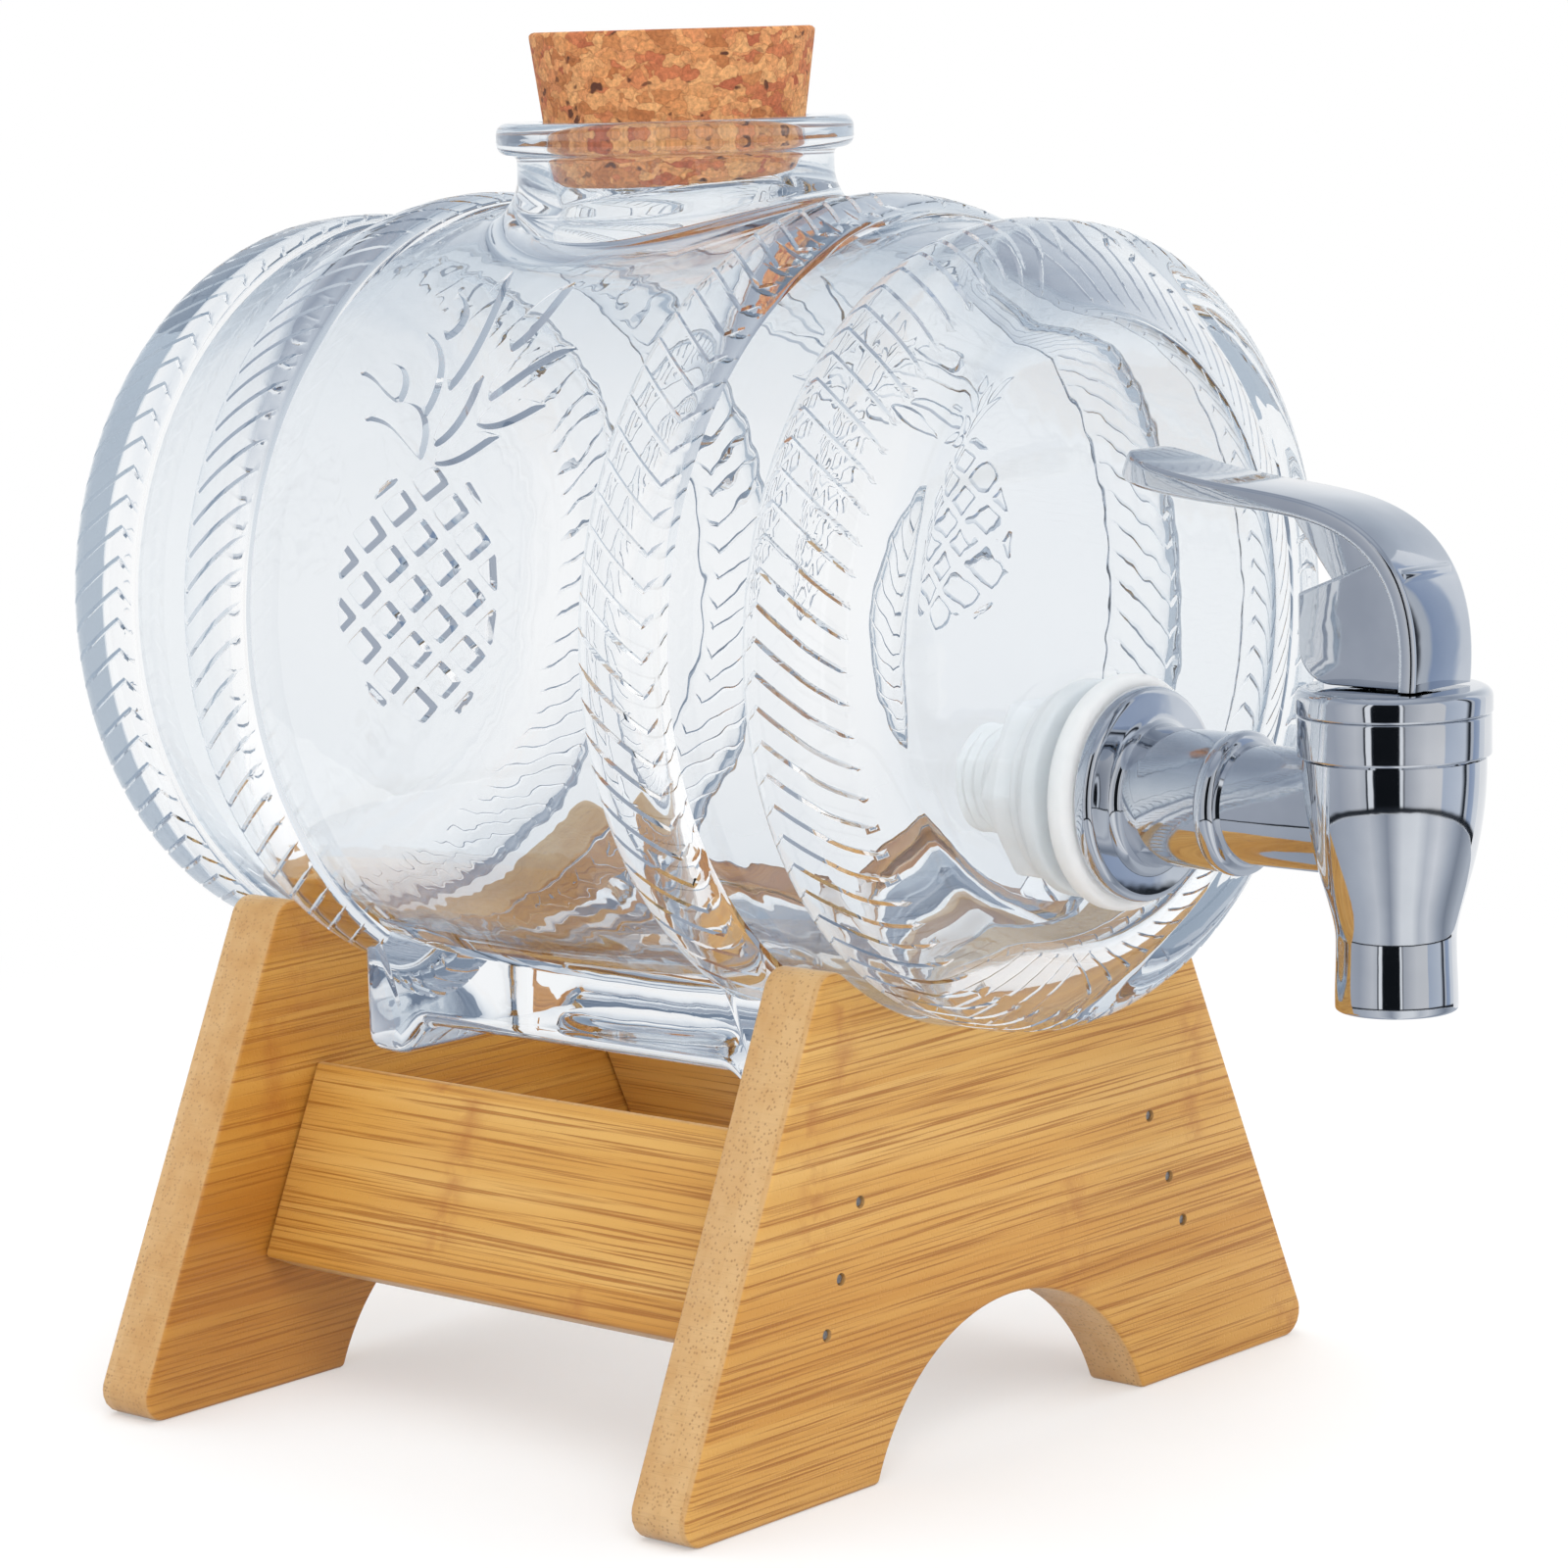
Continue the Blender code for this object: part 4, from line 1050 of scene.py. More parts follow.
def pressed_glass(settings):
    """Clear soda-lime glass, pressed and fire polished: bright, with a cool tint at its edges."""
    made, tree, shader, output = new_finish("pressed_soda_glass")
    facing = add(tree, "ShaderNodeLayerWeight", {"Blend": 0.35})
    tint = add(
        tree, MIX, [facing.outputs["Facing"], "FFFFFF", (*settings.edge_tint, 1)], data_type="RGBA"
    )
    feed(shader, {"Base Color": tint, "Transmission Weight": 1.0, "Roughness": 0.0, "IOR": 1.5})
    place = add(tree, "ShaderNodeTexCoord").outputs["Object"]
    # Faint waves some 6 mm apart that pressing leaves in the skin
    waves = add(tree, NOISE, {"Vector": place, "Scale": 160.0, "Detail": 1.0})
    bump = add(tree, "ShaderNodeBump", {"Strength": 0.05, "Distance": 0.001, "Height": waves})
    feed(shader, {"Normal": bump})
    # Light passes on to what stands behind, as through real clear glass
    path = add(tree, "ShaderNodeLightPath")
    lit = add(tree, "MAXIMUM", [path.outputs["Is Shadow Ray"], path.outputs["Is Diffuse Ray"]])
    # Light that has bounced about inside the wall many times leaves it pale and blue-grey
    passed = add(tree, MIX, [lit, (*settings.depth_tint, 1), "F8FAFB"], data_type="RGBA")
    clear = add(tree, "ShaderNodeBsdfTransparent", [passed])
    weary = add(tree, "GREATER_THAN", [path.outputs["Ray Depth"], 6.5])
    turned_back = add(tree, "GREATER_THAN", [path.outputs["Glossy Depth"], 2.5])
    weary = add(tree, "MAXIMUM", [weary, turned_back])
    skip = add(tree, "MAXIMUM", [lit, weary])
    through = add(tree, "ShaderNodeMixShader", [skip, shader, clear])
    feed(output, {"Surface": through})
    return made


def foot_outline():
    """Side outline of the glass foot: two pads with an arch between them, up into the belly."""
    inside = belly_radius - glass_wall * 2
    pad_end = foot_half_length - foot_pad_length
    flat_end = pad_end - foot_arch_run
    right = [(foot_half_length, -inside / 2), (foot_half_length, -foot_drop)]
    for share in np.linspace(0, 1, 13):
        place = pad_end + (flat_end - pad_end) * share
        right.append((place, -foot_drop + foot_arch_rise * share * share * (3 - share * 2)))
    left = [(-along, height) for along, height in reversed(right)]
    return right + left


def glass_foot(glass):
    """Join the moulded foot under the belly, with a shallow recess in its arch."""
    shape = moved(extruded(foot_outline(), foot_half_width * 2, side_plane), (0, -foot_forward, 0))
    carve(glass, soften(from_shape("foot", shape), foot_rounding, 5), "UNION")
    outline = [(0, -2.0), (1.15, -2.0), (1.15, 0.0)]
    outline += [(1.0, 0.15), (0.97, 0.55), (0.9, 0.85), (0.75, 1.0), (0, 1.0)]
    shape = turned(outline, 64)
    bmesh.ops.scale(
        shape, vec=(recess_half_width, recess_half_length, recess_depth), verts=shape.verts[:]
    )
    place = (0, -foot_forward, -foot_drop + foot_arch_rise)
    carve(glass, from_shape("recess", moved(shape, place)), "DIFFERENCE")


def cut_cavity(glass):
    """Hollow the barrel, its neck and the hole for the tap."""
    cavity = from_shape("cavity", along_y(turned(both_ways(cavity_outline()), cavity_facets)))
    wave_in(cavity)
    carve(glass, cavity, "DIFFERENCE")
    carve(glass, from_shape("bore", turned(bore_outline(), 128)), "DIFFERENCE")
    depth = head_wall + cut_overrun
    hole = moved(along_y(rod(glass_hole_radius, -depth, depth, 64)), tap_hole - barrel_centre)
    carve(glass, from_shape("hole", hole), "DIFFERENCE")


class GlassSettings(bpy.types.PropertyGroup):
    """Sizes and colours of the pressed glass."""

    edge_tint: colour_setting("Edge tint", "Colour of the glass where it is seen edge on", "C3D2DE")
    depth_tint: colour_setting(
        "Depth tint", "Colour of light that has turned back inside the wall", "E2E7EC"
    )
    ridges: IntProperty(
        name="Ridges", description="Rope ridges round each hoop", default=78, min=20, max=120
    )
    ridge_depth: length_setting("Ridge depth", "Depth of the grooves between ridges", 0.00042)
    relief_rise: length_setting("Relief rise", "Height of the pineapple over the belly", 0.0009)


class DISPENSER_OT_glass(bpy.types.Operator):
    """Build the pressed glass barrel"""

    bl_idname = "dispenser.glass"
    bl_label = "Glass barrel"

    def execute(self, context):
        settings = context.scene.dispenser_glass
        finish = pressed_glass(settings)
        glass = wall_mesh()
        cut_rope(glass, settings, finish)
        raise_pineapple(glass, settings, finish)
        glass_foot(glass)
        cut_cavity(glass)
        dress(glass, finish, "barrel", ["glass_barrel"], barrel_centre, 34)
        return {"FINISHED"}


# Cork


def ground_cork(settings):
    """Agglomerated cork, ground to shape: pressed granules with dark bark flecks and pits."""
    made, tree, shader, _ = new_finish("ground_agglomerated_cork")
    place = add(tree, "ShaderNodeTexCoord").outputs["Object"]
    bend = add(tree, NOISE, {"Vector": place, "Scale": 420.0, "Detail": 2.0})
    shift = add(tree, VECTOR, [bend.outputs["Color"], (0.5, 0.5, 0.5)], operation="SUBTRACT")
    shift = add(tree, VECTOR, [shift, 0.0034], operation="SCALE")
    spot = add(tree, VECTOR, [place, shift], operation="ADD")
    flat = add(tree, VECTOR, [spot, (1.0, 1.0, 1.7)], operation="MULTIPLY")
    # Granules about 2.5 mm across and flatter than wide
    grains = add(tree, VORONOI, {"Vector": flat, "Scale": 400.0})
    grain_tone = add(tree, "ShaderNodeSeparateColor", [grains.outputs["Color"]])
    colours = add(
        tree, RAMP, [grain_tone.outputs[0]],
        stops=(
            (0.0, "B8703F"), (0.25, "D48E56"), (0.5, "E3A66C"),
            (0.72, "DB9760"), (0.86, "CA784C"), (1.0, "B25C3C"),
        ),
    )
    fine = add(tree, NOISE, {"Vector": place, "Scale": 1500.0, "Detail": 3.0, "Roughness": 0.65})
    mottle = add(tree, RANGE, [fine, 0.3, 0.72, 0.66, 1.24])
    mottled = add(tree, MIX, [1.0, colours, mottle], data_type="RGBA", blend_type="MULTIPLY")
    flecks = add(tree, VORONOI, {"Vector": flat, "Scale": 520.0})
    fleck_tone = add(tree, "ShaderNodeSeparateColor", [flecks.outputs["Color"]])
    fleck_chance = add(tree, RANGE, [fleck_tone.outputs[1], 0.86, 0.9])
    fleck_body = add(tree, RANGE, [flecks, 0.5, 0.3])
    fleck = add(tree, "MULTIPLY", [fleck_chance, fleck_body])
    dark = add(tree, MIX, [fleck, mottled, "5E3524"], data_type="RGBA")
    seams = add(tree, VORONOI, {"Vector": flat, "Scale": 400.0}, feature="DISTANCE_TO_EDGE")
    seam = add(tree, RANGE, [seams, 0.0, 0.07, 0.34, 0.0])
    lined = add(tree, MIX, [seam, dark, "8A5230"], data_type="RGBA")
    feed(shader, {"Base Color": lined, "Roughness": 0.86})
    depth = add(tree, "SUBTRACT", [fine, seam])
    bump = add(tree, "ShaderNodeBump", {"Strength": 0.5, "Distance": 0.0004, "Height": depth})
    feed(shader, {"Normal": bump})
    return made


def pit_tree():
    """Geometry Nodes that open small pits in the cork's skin."""
    tree, given = new_tree(
        "cork_pits", "Cork",
        Geometry=["Cork"], Float=["Pit size", "Pit depth", "Pit share", "Seed"], Material=["Finish"],
    )
    scale = add(tree, "DIVIDE", [1.0, given["Pit size"]])
    spot = add(tree, "GeometryNodeInputPosition")
    rough = add(
        tree, NOISE, {"Vector": spot, "W": given["Seed"], "Scale": scale, "Detail": 2.0},
        noise_dimensions="4D",
    )
    limit = add(tree, "SUBTRACT", [1.0, given["Pit share"]])
    over = add(tree, "ADD", [limit, 0.08])
    pit = add(tree, RANGE, [rough, limit, over, 0.0, -1.0])
    sink = add(tree, "MULTIPLY", [pit, given["Pit depth"]])
    away = add(tree, "GeometryNodeInputNormal")
    push = add(tree, VECTOR, [away, sink], operation="SCALE")
    pitted = add(tree, "GeometryNodeSetPosition", {"Geometry": given["Cork"], "Offset": push})
    return end_tree(tree, pitted, given["Finish"])


def cork_outline():
    """Outline of the cork in short steps, so that pits fit between its points."""
    high = cork_top_radius
    taper = (high - cork_bottom_radius) / cork_height
    low = cork_bottom_radius + taper * cork_foot_rise
    points = [(radius, cork_foot_rise) for radius in np.linspace(0, low - cork_rounding, 26)]
    rise = np.linspace(cork_foot_rise + cork_rounding, cork_height - cork_rounding, 44)
    points += [(cork_bottom_radius + taper * height, height) for height in rise]
    corner = (high - cork_rounding, cork_height - cork_rounding)
    points += arc(corner, cork_rounding, 0, math.pi / 2, 3)[1:]
    points += [(radius, cork_height) for radius in np.linspace(high - cork_rounding, 0, 32)[1:]]
    return points


class CorkSettings(bpy.types.PropertyGroup):
    """Sizes of the cork's pits."""

    pit_size: length_setting("Pit size", "Width of the pits in the cork's skin", 0.0016)
    pit_depth: length_setting("Pit depth", "Depth of the pits in the cork's skin", 0.0005)


class DISPENSER_OT_cork(bpy.types.Operator):
    """Build the tapered cork"""

    bl_idname = "dispenser.cork"
    bl_label = "Cork"

    def execute(self, context):
        settings = context.scene.dispenser_cork
        finish = ground_cork(settings)
        cork = from_shape("cork_fine", turned(cork_outline(), 150))
        values = {
            "Pit size": settings.pit_size,
            "Pit depth": settings.pit_depth,
            "Pit share": pit_share,
            "Seed": pit_seed,
            "Finish": finish,
        }
        run_tree(cork, pit_tree(), values)
        place = (0, stand_centre, cork_low.z)
        dress(cork, finish, "cork", ["cork_stopper"], place, 60)
        return {"FINISHED"}


# Bamboo stand


def bamboo(name, settings, grain_axis, ply_axis, seed):
    """Laminated bamboo with a satin clear coat: honey strips, dark fibres, pale porous ends."""
    made, tree, shader, _ = new_finish(name)
    coords = add(tree, "ShaderNodeTexCoord")
    place = coords.outputs["Object"]
    other_axis = ({"X", "Y", "Z"} - {grain_axis, ply_axis}).pop()
    parts = add(tree, "ShaderNodeSeparateXYZ", [place])
    along, across, through = (parts.outputs[a] for a in (grain_axis, other_axis, ply_axis))
    # Strips about 21 mm wide, each with its own tone and its own nodes
    strip = add(tree, "MULTIPLY", [across, 1 / 0.021])
    strip = add(tree, "ADD", [strip, seed])
    strip = add(tree, "FLOOR", [strip])
    chance = add(tree, "ShaderNodeTexWhiteNoise", {"W": strip}, noise_dimensions="1D")
    strip_place = add(tree, "MULTIPLY", [strip, 7.31])
    # Fibres, streaks some 0.4 mm wide and 40 mm long, and wider bands of tone
    noises = []
    for down, over, detail, roughness in ((26.0, 2300.0, 2.5, 0.6), (9.0, 210.0, 2.0, 0.5)):
        length = add(tree, "MULTIPLY", [along, down])
        width = add(tree, "MULTIPLY", [across, over])
        spot = add(tree, "ShaderNodeCombineXYZ", [length, width, strip_place])
        inputs = {"Vector": spot, "Scale": 1.0, "Detail": detail, "Roughness": roughness}
        noises.append(add(tree, NOISE, inputs))
    streaks, wide = noises
    tone = add(tree, "MULTIPLY_ADD", [chance, 0.18, 0.18])
    # Painted shade: the board farther along the ply axis is coloured darker, standing in for the shade
    # and warm light bounced onto it
    board = add(tree, RANGE, [through, 0.03, 0.04, 0.0, -0.26])
    tone = add(tree, "ADD", [tone, board])
    tone = add(tree, "MULTIPLY_ADD", [wide, 0.7, tone])
    ground = add(
        tree, RAMP, [tone],
        stops=((0.2, "B9792A"), (0.45, "CB903C"), (0.65, "D6A04E"), (0.85, "E0B062")),
    )
    fibre = add(tree, RANGE, [streaks, 0.47, 0.66], interpolation_type="SMOOTHSTEP")
    fibre = add(tree, "MULTIPLY", [fibre, 0.86])
    lined = add(tree, MIX, [fibre, ground, (*settings.fibre_colour, 1)], data_type="RGBA")
    # Nodes of the stalk: a reddish band some 9 mm long, at one place in each strip
    node_place = add(tree, "MULTIPLY", [along, 1 / 0.085])
    node_shift = add(tree, "MULTIPLY_ADD", [chance, 0.9, 0.2])
    node_place = add(tree, "ADD", [node_place, node_shift])
    node_place = add(tree, "FRACT", [node_place])
    node_off = add(tree, "SUBTRACT", [node_place, 0.5])
    wobble = add(tree, NOISE, {"Vector": place, "Scale": 240.0, "Detail": 3.0})
    node_off = add(tree, "ABSOLUTE", [node_off])
    node_off = add(tree, "MULTIPLY_ADD", [wobble, 0.09, node_off])
    node = add(tree, RANGE, [node_off, 0.105, 0.04], interpolation_type="SMOOTHSTEP")
    blotch = add(tree, RANGE, [wobble, 0.42, 0.62])
    node = add(tree, "MULTIPLY", [node, blotch])
    node = add(tree, "MULTIPLY", [node, 0.55])
    noded = add(tree, MIX, [node, lined, (*settings.node_colour, 1)], data_type="RGBA")
    # Ends and edges: paler, with pores 0.35 mm across and three glued plies
    pores = add(tree, VORONOI, {"Vector": place, "Scale": 1500.0})
    pore = add(tree, RANGE, [pores, 0.36, 0.16])
    ply = add(tree, "MULTIPLY", [through, 1 / 0.0034])
    ply = add(tree, "FLOOR", [ply])
    ply_tone = add(tree, "ShaderNodeTexWhiteNoise", {"W": ply}, noise_dimensions="1D")
    ply_chance = add(tree, "MULTIPLY_ADD", [ply_tone, 0.4, 0.2])
    pore = add(tree, "MULTIPLY", [pore, ply_chance])
    soft = add(tree, NOISE, {"Vector": place, "Scale": 260.0, "Detail": 2.0})
    end_tone = add(tree, "MULTIPLY_ADD", [soft, 0.6, ply_chance])
    end_ground = add(tree, RAMP, [end_tone], stops=((0.35, "BE8C4E"), (0.6, "CB9D63"), (0.9, "D5AD77")))
    ends = add(tree, MIX, [pore, end_ground, "8E5E2C"], data_type="RGBA")
    facing = add(tree, "ShaderNodeSeparateXYZ", [coords.outputs["Normal"]])
    face = add(tree, "ABSOLUTE", [facing.outputs[ply_axis]])
    face = add(tree, RANGE, [face, 0.45, 0.75])
    colour = add(tree, MIX, [face, ends, noded], data_type="RGBA")
    feed(shader, {"Base Color": colour})
    gloss = add(tree, RANGE, [streaks, 0.3, 0.7, 0.38, 0.5])
    feed(shader, {"Roughness": gloss, "Coat Weight": 0.15, "Coat Roughness": 0.3})
    depth = add(tree, "ADD", [pore, fibre])
    bump = add(
        tree, "ShaderNodeBump", {"Strength": 0.35, "Distance": 0.0002, "Height": depth}, invert=True
    )
    feed(shader, {"Normal": bump})
    return made


def panel_outline():
    """Front outline of an end panel: base, sloped side, horn, cradle, and arch below."""
    tilt = math.tan(panel_side_angle)
    half_base = panel_base_width / 2
    cradle_radius = belly_line(panel_place - panel_thickness / 2) + seat_gap
    horn = panel_rounding
    cradle_centre = Vector((0, barrel_height))
    outward = Vector((math.cos(panel_side_angle), math.sin(panel_side_angle)))
    upward = Vector((-math.sin(panel_side_angle), math.cos(panel_side_angle)))
    line_start = Vector((half_base, 0)) - outward * horn
    from_centre = line_start - cradle_centre
    middle = from_centre.dot(upward)
    reach = cradle_radius + horn
    run = -middle - math.sqrt(middle**2 - from_centre.length_squared + reach**2)
    horn_centre = line_start + upward * run
    inward = (cradle_centre - horn_centre).normalized()
    start_angle = math.atan2(outward.y, outward.x)
    end_angle = math.atan2(inward.y, inward.x)
    low_angle = math.atan2(-inward.y, -inward.x)
    arch_radius = (arch_width**2 / 4 + arch_height**2) / (2 * arch_height)
    arch_centre = (0, arch_height - arch_radius)
    arch_angle = math.atan2(-arch_centre[1], arch_width / 2)
    side_top = (half_base - tilt * barrel_height, barrel_height)
    right = rounded_corner((arch_width / 2, 0), (half_base, 0), side_top, panel_rounding, 8)
    right += arc(tuple(horn_centre), horn, start_angle, end_angle, 12)
    left = [(-x, z) for x, z in reversed(right)]
    cradle = arc(tuple(cradle_centre), cradle_radius, low_angle, -math.pi - low_angle, 72)[1:-1]
    arch = arc(arch_centre, arch_radius, math.pi - arch_angle, arch_angle, 48)
    return right + cradle + left + arch


def rail_frame(side):
    """Lower outer corner of a rail in the XZ plane, with its outward and upward directions."""
    outward = Vector((side * math.cos(panel_side_angle), math.sin(panel_side_angle)))
    upward = Vector((-side * math.sin(panel_side_angle), math.cos(panel_side_angle)))
    base = Vector((side * panel_base_width / 2, 0)) - outward * rail_inset
    return base + upward * ((rail_rise - base.y) / upward.y), outward, upward


def brad_spots():
    """Places across and up of the brads that hold the rails' ends."""
    spots = []
    for side in (-1, 1):
        corner, outward, upward = rail_frame(side)
        for share in brad_shares:
            spots.append(corner - outward * (rail_thickness / 2) + upward * (rail_height * share))
    return spots


def drill(board, place, length):
    """Cut the brads' holes through a board."""
    for spot in brad_spots():
        hole = along_y(rod(brad_radius + seat_gap, -length / 2, length / 2, 16))
        carve(board, from_shape("hole", moved(hole, (spot.x, place, spot.y))), "DIFFERENCE")
    return board


def brad_tree():
    """Geometry Nodes that put one steel brad at each point."""
    tree, given = new_tree(
        "brads_at_points", "Brads",
        Geometry=["Points"], Float=["Radius", "Length"], Material=["Steel"],
    )
    pin = add(
        tree, "GeometryNodeMeshCylinder",
        {"Vertices": 16, "Radius": given["Radius"], "Depth": given["Length"]},
    )
    pins = add(
        tree, "GeometryNodeInstanceOnPoints",
        {"Points": given["Points"], "Instance": pin, "Rotation": (math.pi / 2, 0, 0)},
    )
    return end_tree(tree, pins, given["Steel"])


def drawn_steel(name="drawn_steel_wire"):
    """Bright drawn steel wire, a little dulled, with fine die marks."""
    made, tree, shader, _ = new_finish(name)
    place = add(tree, "ShaderNodeTexCoord").outputs["Object"]
    marks = add(tree, NOISE, {"Vector": place, "Scale": 3000.0, "Detail": 2.0})
    tone = add(tree, RAMP, [marks], stops=((0.3, "8C8A88"), (0.7, "B4B2AE")))
    feed(shader, {"Base Color": tone})
    gloss = add(tree, RANGE, [marks, 0.0, 1.0, 0.25, 0.42])
    feed(shader, {"Roughness": gloss, "Metallic": 1.0})
    return made


class StandSettings(bpy.types.PropertyGroup):
    """Sizes and colours of the bamboo stand."""

    fibre_colour: colour_setting("Fibre colour", "Colour of the dark fibres in the bamboo", "A5671F")
    node_colour: colour_setting("Node colour", "Colour of the stalk's nodes in the bamboo", "A65F24")
    edge_rounding: length_setting(
        "Edge rounding", "Radius that the boards' edges are sanded to", 0.0007
    )


def panels(settings):
    """Front and rear panel, sanded along their edges and drilled for the brads."""
    look = bamboo("bamboo_panel_board", settings, "X", "Y", 0.35)
    outline = panel_outline()
    for side, word in ((-1, "front"), (1, "rear")):
        place = stand_centre + side * panel_place
        shape = moved(extruded(outline, panel_thickness, front_plane), (0, place, 0))
        panel = soften(from_shape(f"{word}_panel_fine", shape), settings.edge_rounding)
        drill(panel, place, panel_thickness + cut_overrun)
        dress(panel, look, "stand", [f"{word}_panel"])


def rails(settings):
    """Left and right rail, tilted with the panels' sides and drilled at both ends."""
    look = bamboo("bamboo_rail_board", settings, "Y", "X", 0.8)
    length = (panel_inner_face - seat_gap) * 2
    for side, word in ((-1, "left"), (1, "right")):
        corner, outward, upward = rail_frame(side)
        middle = corner - outward * (rail_thickness / 2) + upward * (rail_height / 2)
        shape = block(rail_thickness / 2, length / 2, -rail_height / 2, rail_height / 2)
        tilt = Matrix.Rotation(-side * panel_side_angle, 4, "Y")
        bmesh.ops.transform(shape, matrix=tilt, verts=shape.verts[:])
        board = from_shape(f"{word}_rail_fine", moved(shape, (middle.x, stand_centre, middle.y)))
        soften(board, settings.edge_rounding)
        for end in (-1, 1):
            drill(board, stand_centre + end * length / 2, brad_length * brad_hole_share)
        dress(board, look, "stand", [f"{word}_rail"])


def brads():
    """Twelve steel brads, three through each panel into each end of a rail."""
    away = panel_place + panel_thickness / 2 - brad_set_depth - brad_length / 2
    points = [(spot.x, stand_centre + end * away, spot.y) for end in (-1, 1) for spot in brad_spots()]
    mesh = bpy.data.meshes.new("brads_fine")
    mesh.from_pydata(points, [], [])
    made = bpy.data.objects.new("brads_fine", mesh)
    bpy.context.scene.collection.objects.link(made)
    steel = drawn_steel()
    run_tree(made, brad_tree(), {"Radius": brad_radius, "Length": brad_length, "Steel": steel})
    corners = [f"{end}_{side}" for end in ("front", "rear") for side in ("left", "right")]
    names = [f"{corner}_brad_{number}" for corner in corners for number in (1, 2, 3)]
    dress(made, steel, "stand", names)


class DISPENSER_OT_stand(bpy.types.Operator):
    """Build the bamboo stand with its panels, rails and brads"""

    bl_idname = "dispenser.stand"
    bl_label = "Stand"

    def execute(self, context):
        settings = context.scene.dispenser_stand
        panels(settings)
        rails(settings)
        brads()
        return {"FINISHED"}


# Tap

# Light spreads some 6 mm inside the washers and the nut, all colours alike
milky_depth = {"Subsurface Weight": 0.8, "Subsurface Scale": 0.006, "Subsurface Radius": (1, 1, 1)}


def bright_chrome(settings):
    """Bright chrome plated on moulded plastic: a mirror with faint orange peel and handling haze."""
    made, tree, shader, _ = new_finish("bright_chrome_on_plastic")
    place = add(tree, "ShaderNodeTexCoord").outputs["Object"]
    haze = add(tree, NOISE, {"Vector": place, "Scale": 90.0, "Detail": 3.0})
    tone = add(tree, RAMP, [haze], stops=((0.35, (*settings.chrome_colour, 1)), (0.75, "DCDFE4")))
    # The plating stops under the flange: the threaded tail inside the glass is bare and milky
    length = add(tree, "ShaderNodeSeparateXYZ", [place]).outputs[1]
    edge = tap_hole.y - washer_thickness / 2
    bare = add(tree, RANGE, [length, edge - 0.0002, edge + 0.0002])
    skin = add(tree, MIX, [bare, tone, (*settings.tail_colour, 1)], data_type="RGBA")
    gloss = add(tree, RANGE, [haze, 0.3, 0.8, 0.03, 0.07])
    gloss = add(tree, "MULTIPLY_ADD", [bare, 0.4, gloss])
    metal = add(tree, "SUBTRACT", [1.0, bare])
    # Orange peel of the plated skin, about 3 mm from wave to wave
    peel = add(tree, NOISE, {"Vector": place, "Scale": 330.0, "Detail": 1.0})
    bump = add(tree, "ShaderNodeBump", {"Strength": 0.06, "Distance": 0.0002, "Height": peel})
    feed(shader, {"Base Color": skin, "Roughness": gloss, "Metallic": metal, "Normal": bump})
    return made


def frosted_silicone(settings):
    """Moulded silicone: milky and see-through where thin, with a soft matt skin."""
    made, tree, shader, _ = new_finish("frosted_silicone")
    place = add(tree, "ShaderNodeTexCoord").outputs["Object"]
    cloud = add(tree, NOISE, {"Vector": place, "Scale": 150.0, "Detail": 2.0})
    tone = add(tree, RAMP, [cloud], stops=((0.3, (*settings.silicone_colour, 1)), (0.75, "FAFBFC")))
    gloss = add(tree, RANGE, [cloud, 0.0, 1.0, 0.32, 0.45])
    feed(shader, {"Base Color": tone, "Roughness": gloss, "Transmission Weight": 0.12})
    feed(shader, {"IOR": 1.41, **milky_depth})
    return made


def moulded_nylon():
    """Moulded white nylon: waxy and slightly uneven."""
    made, tree, shader, _ = new_finish("moulded_white_nylon")
    place = add(tree, "ShaderNodeTexCoord").outputs["Object"]
    cloud = add(tree, NOISE, {"Vector": place, "Scale": 200.0, "Detail": 2.0})
    tone = add(tree, RAMP, [cloud], stops=((0.3, "F0F2F3"), (0.75, "FAFAFA")))
    gloss = add(tree, RANGE, [cloud, 0.0, 1.0, 0.36, 0.5])
    feed(shader, {"Base Color": tone, "Roughness": gloss, "IOR": 1.53, **milky_depth})
    return made


def thread_tree():
    """Geometry Nodes that roll a screw thread into the tap's tail."""
    tree, given = new_tree(
        "rolled_thread", "Shank",
        Geometry=["Shank"], Float=["Pitch", "Depth", "Start", "End"], Material=["Chrome"],
    )
    spot = add(tree, "GeometryNodeInputPosition")
    parts = add(tree, "ShaderNodeSeparateXYZ", [spot])
    turn = add(tree, "ARCTAN2", [parts.outputs[0], parts.outputs[2]])
    turn = add(tree, "DIVIDE", [turn, math.tau])
    rows = add(tree, "DIVIDE", [parts.outputs[1], given["Pitch"]])
    phase = add(tree, "SUBTRACT", [rows, turn])
    wave = add(tree, "PINGPONG", [phase, 1.0])
    start_end = add(tree, "ADD", [given["Start"], thread_run_out])
    end_start = add(tree, "SUBTRACT", [given["End"], thread_run_out])
    begin = add(tree, RANGE, [parts.outputs[1], given["Start"], start_end])
    stop = add(tree, RANGE, [parts.outputs[1], given["End"], end_start])
    shown = add(tree, "MULTIPLY", [begin, stop])
    sink = add(tree, "MULTIPLY", [wave, given["Depth"]])
    sink = add(tree, "MULTIPLY", [sink, shown])
    outward = add(tree, VECTOR, [spot, (-1, 0, -1)], operation="MULTIPLY")
    outward = add(tree, VECTOR, [outward], operation="NORMALIZE")
    push = add(tree, VECTOR, [outward, sink], operation="SCALE")
    cut = add(tree, "GeometryNodeSetPosition", {"Geometry": given["Shank"], "Offset": push})
    return end_tree(tree, cut, given["Chrome"])


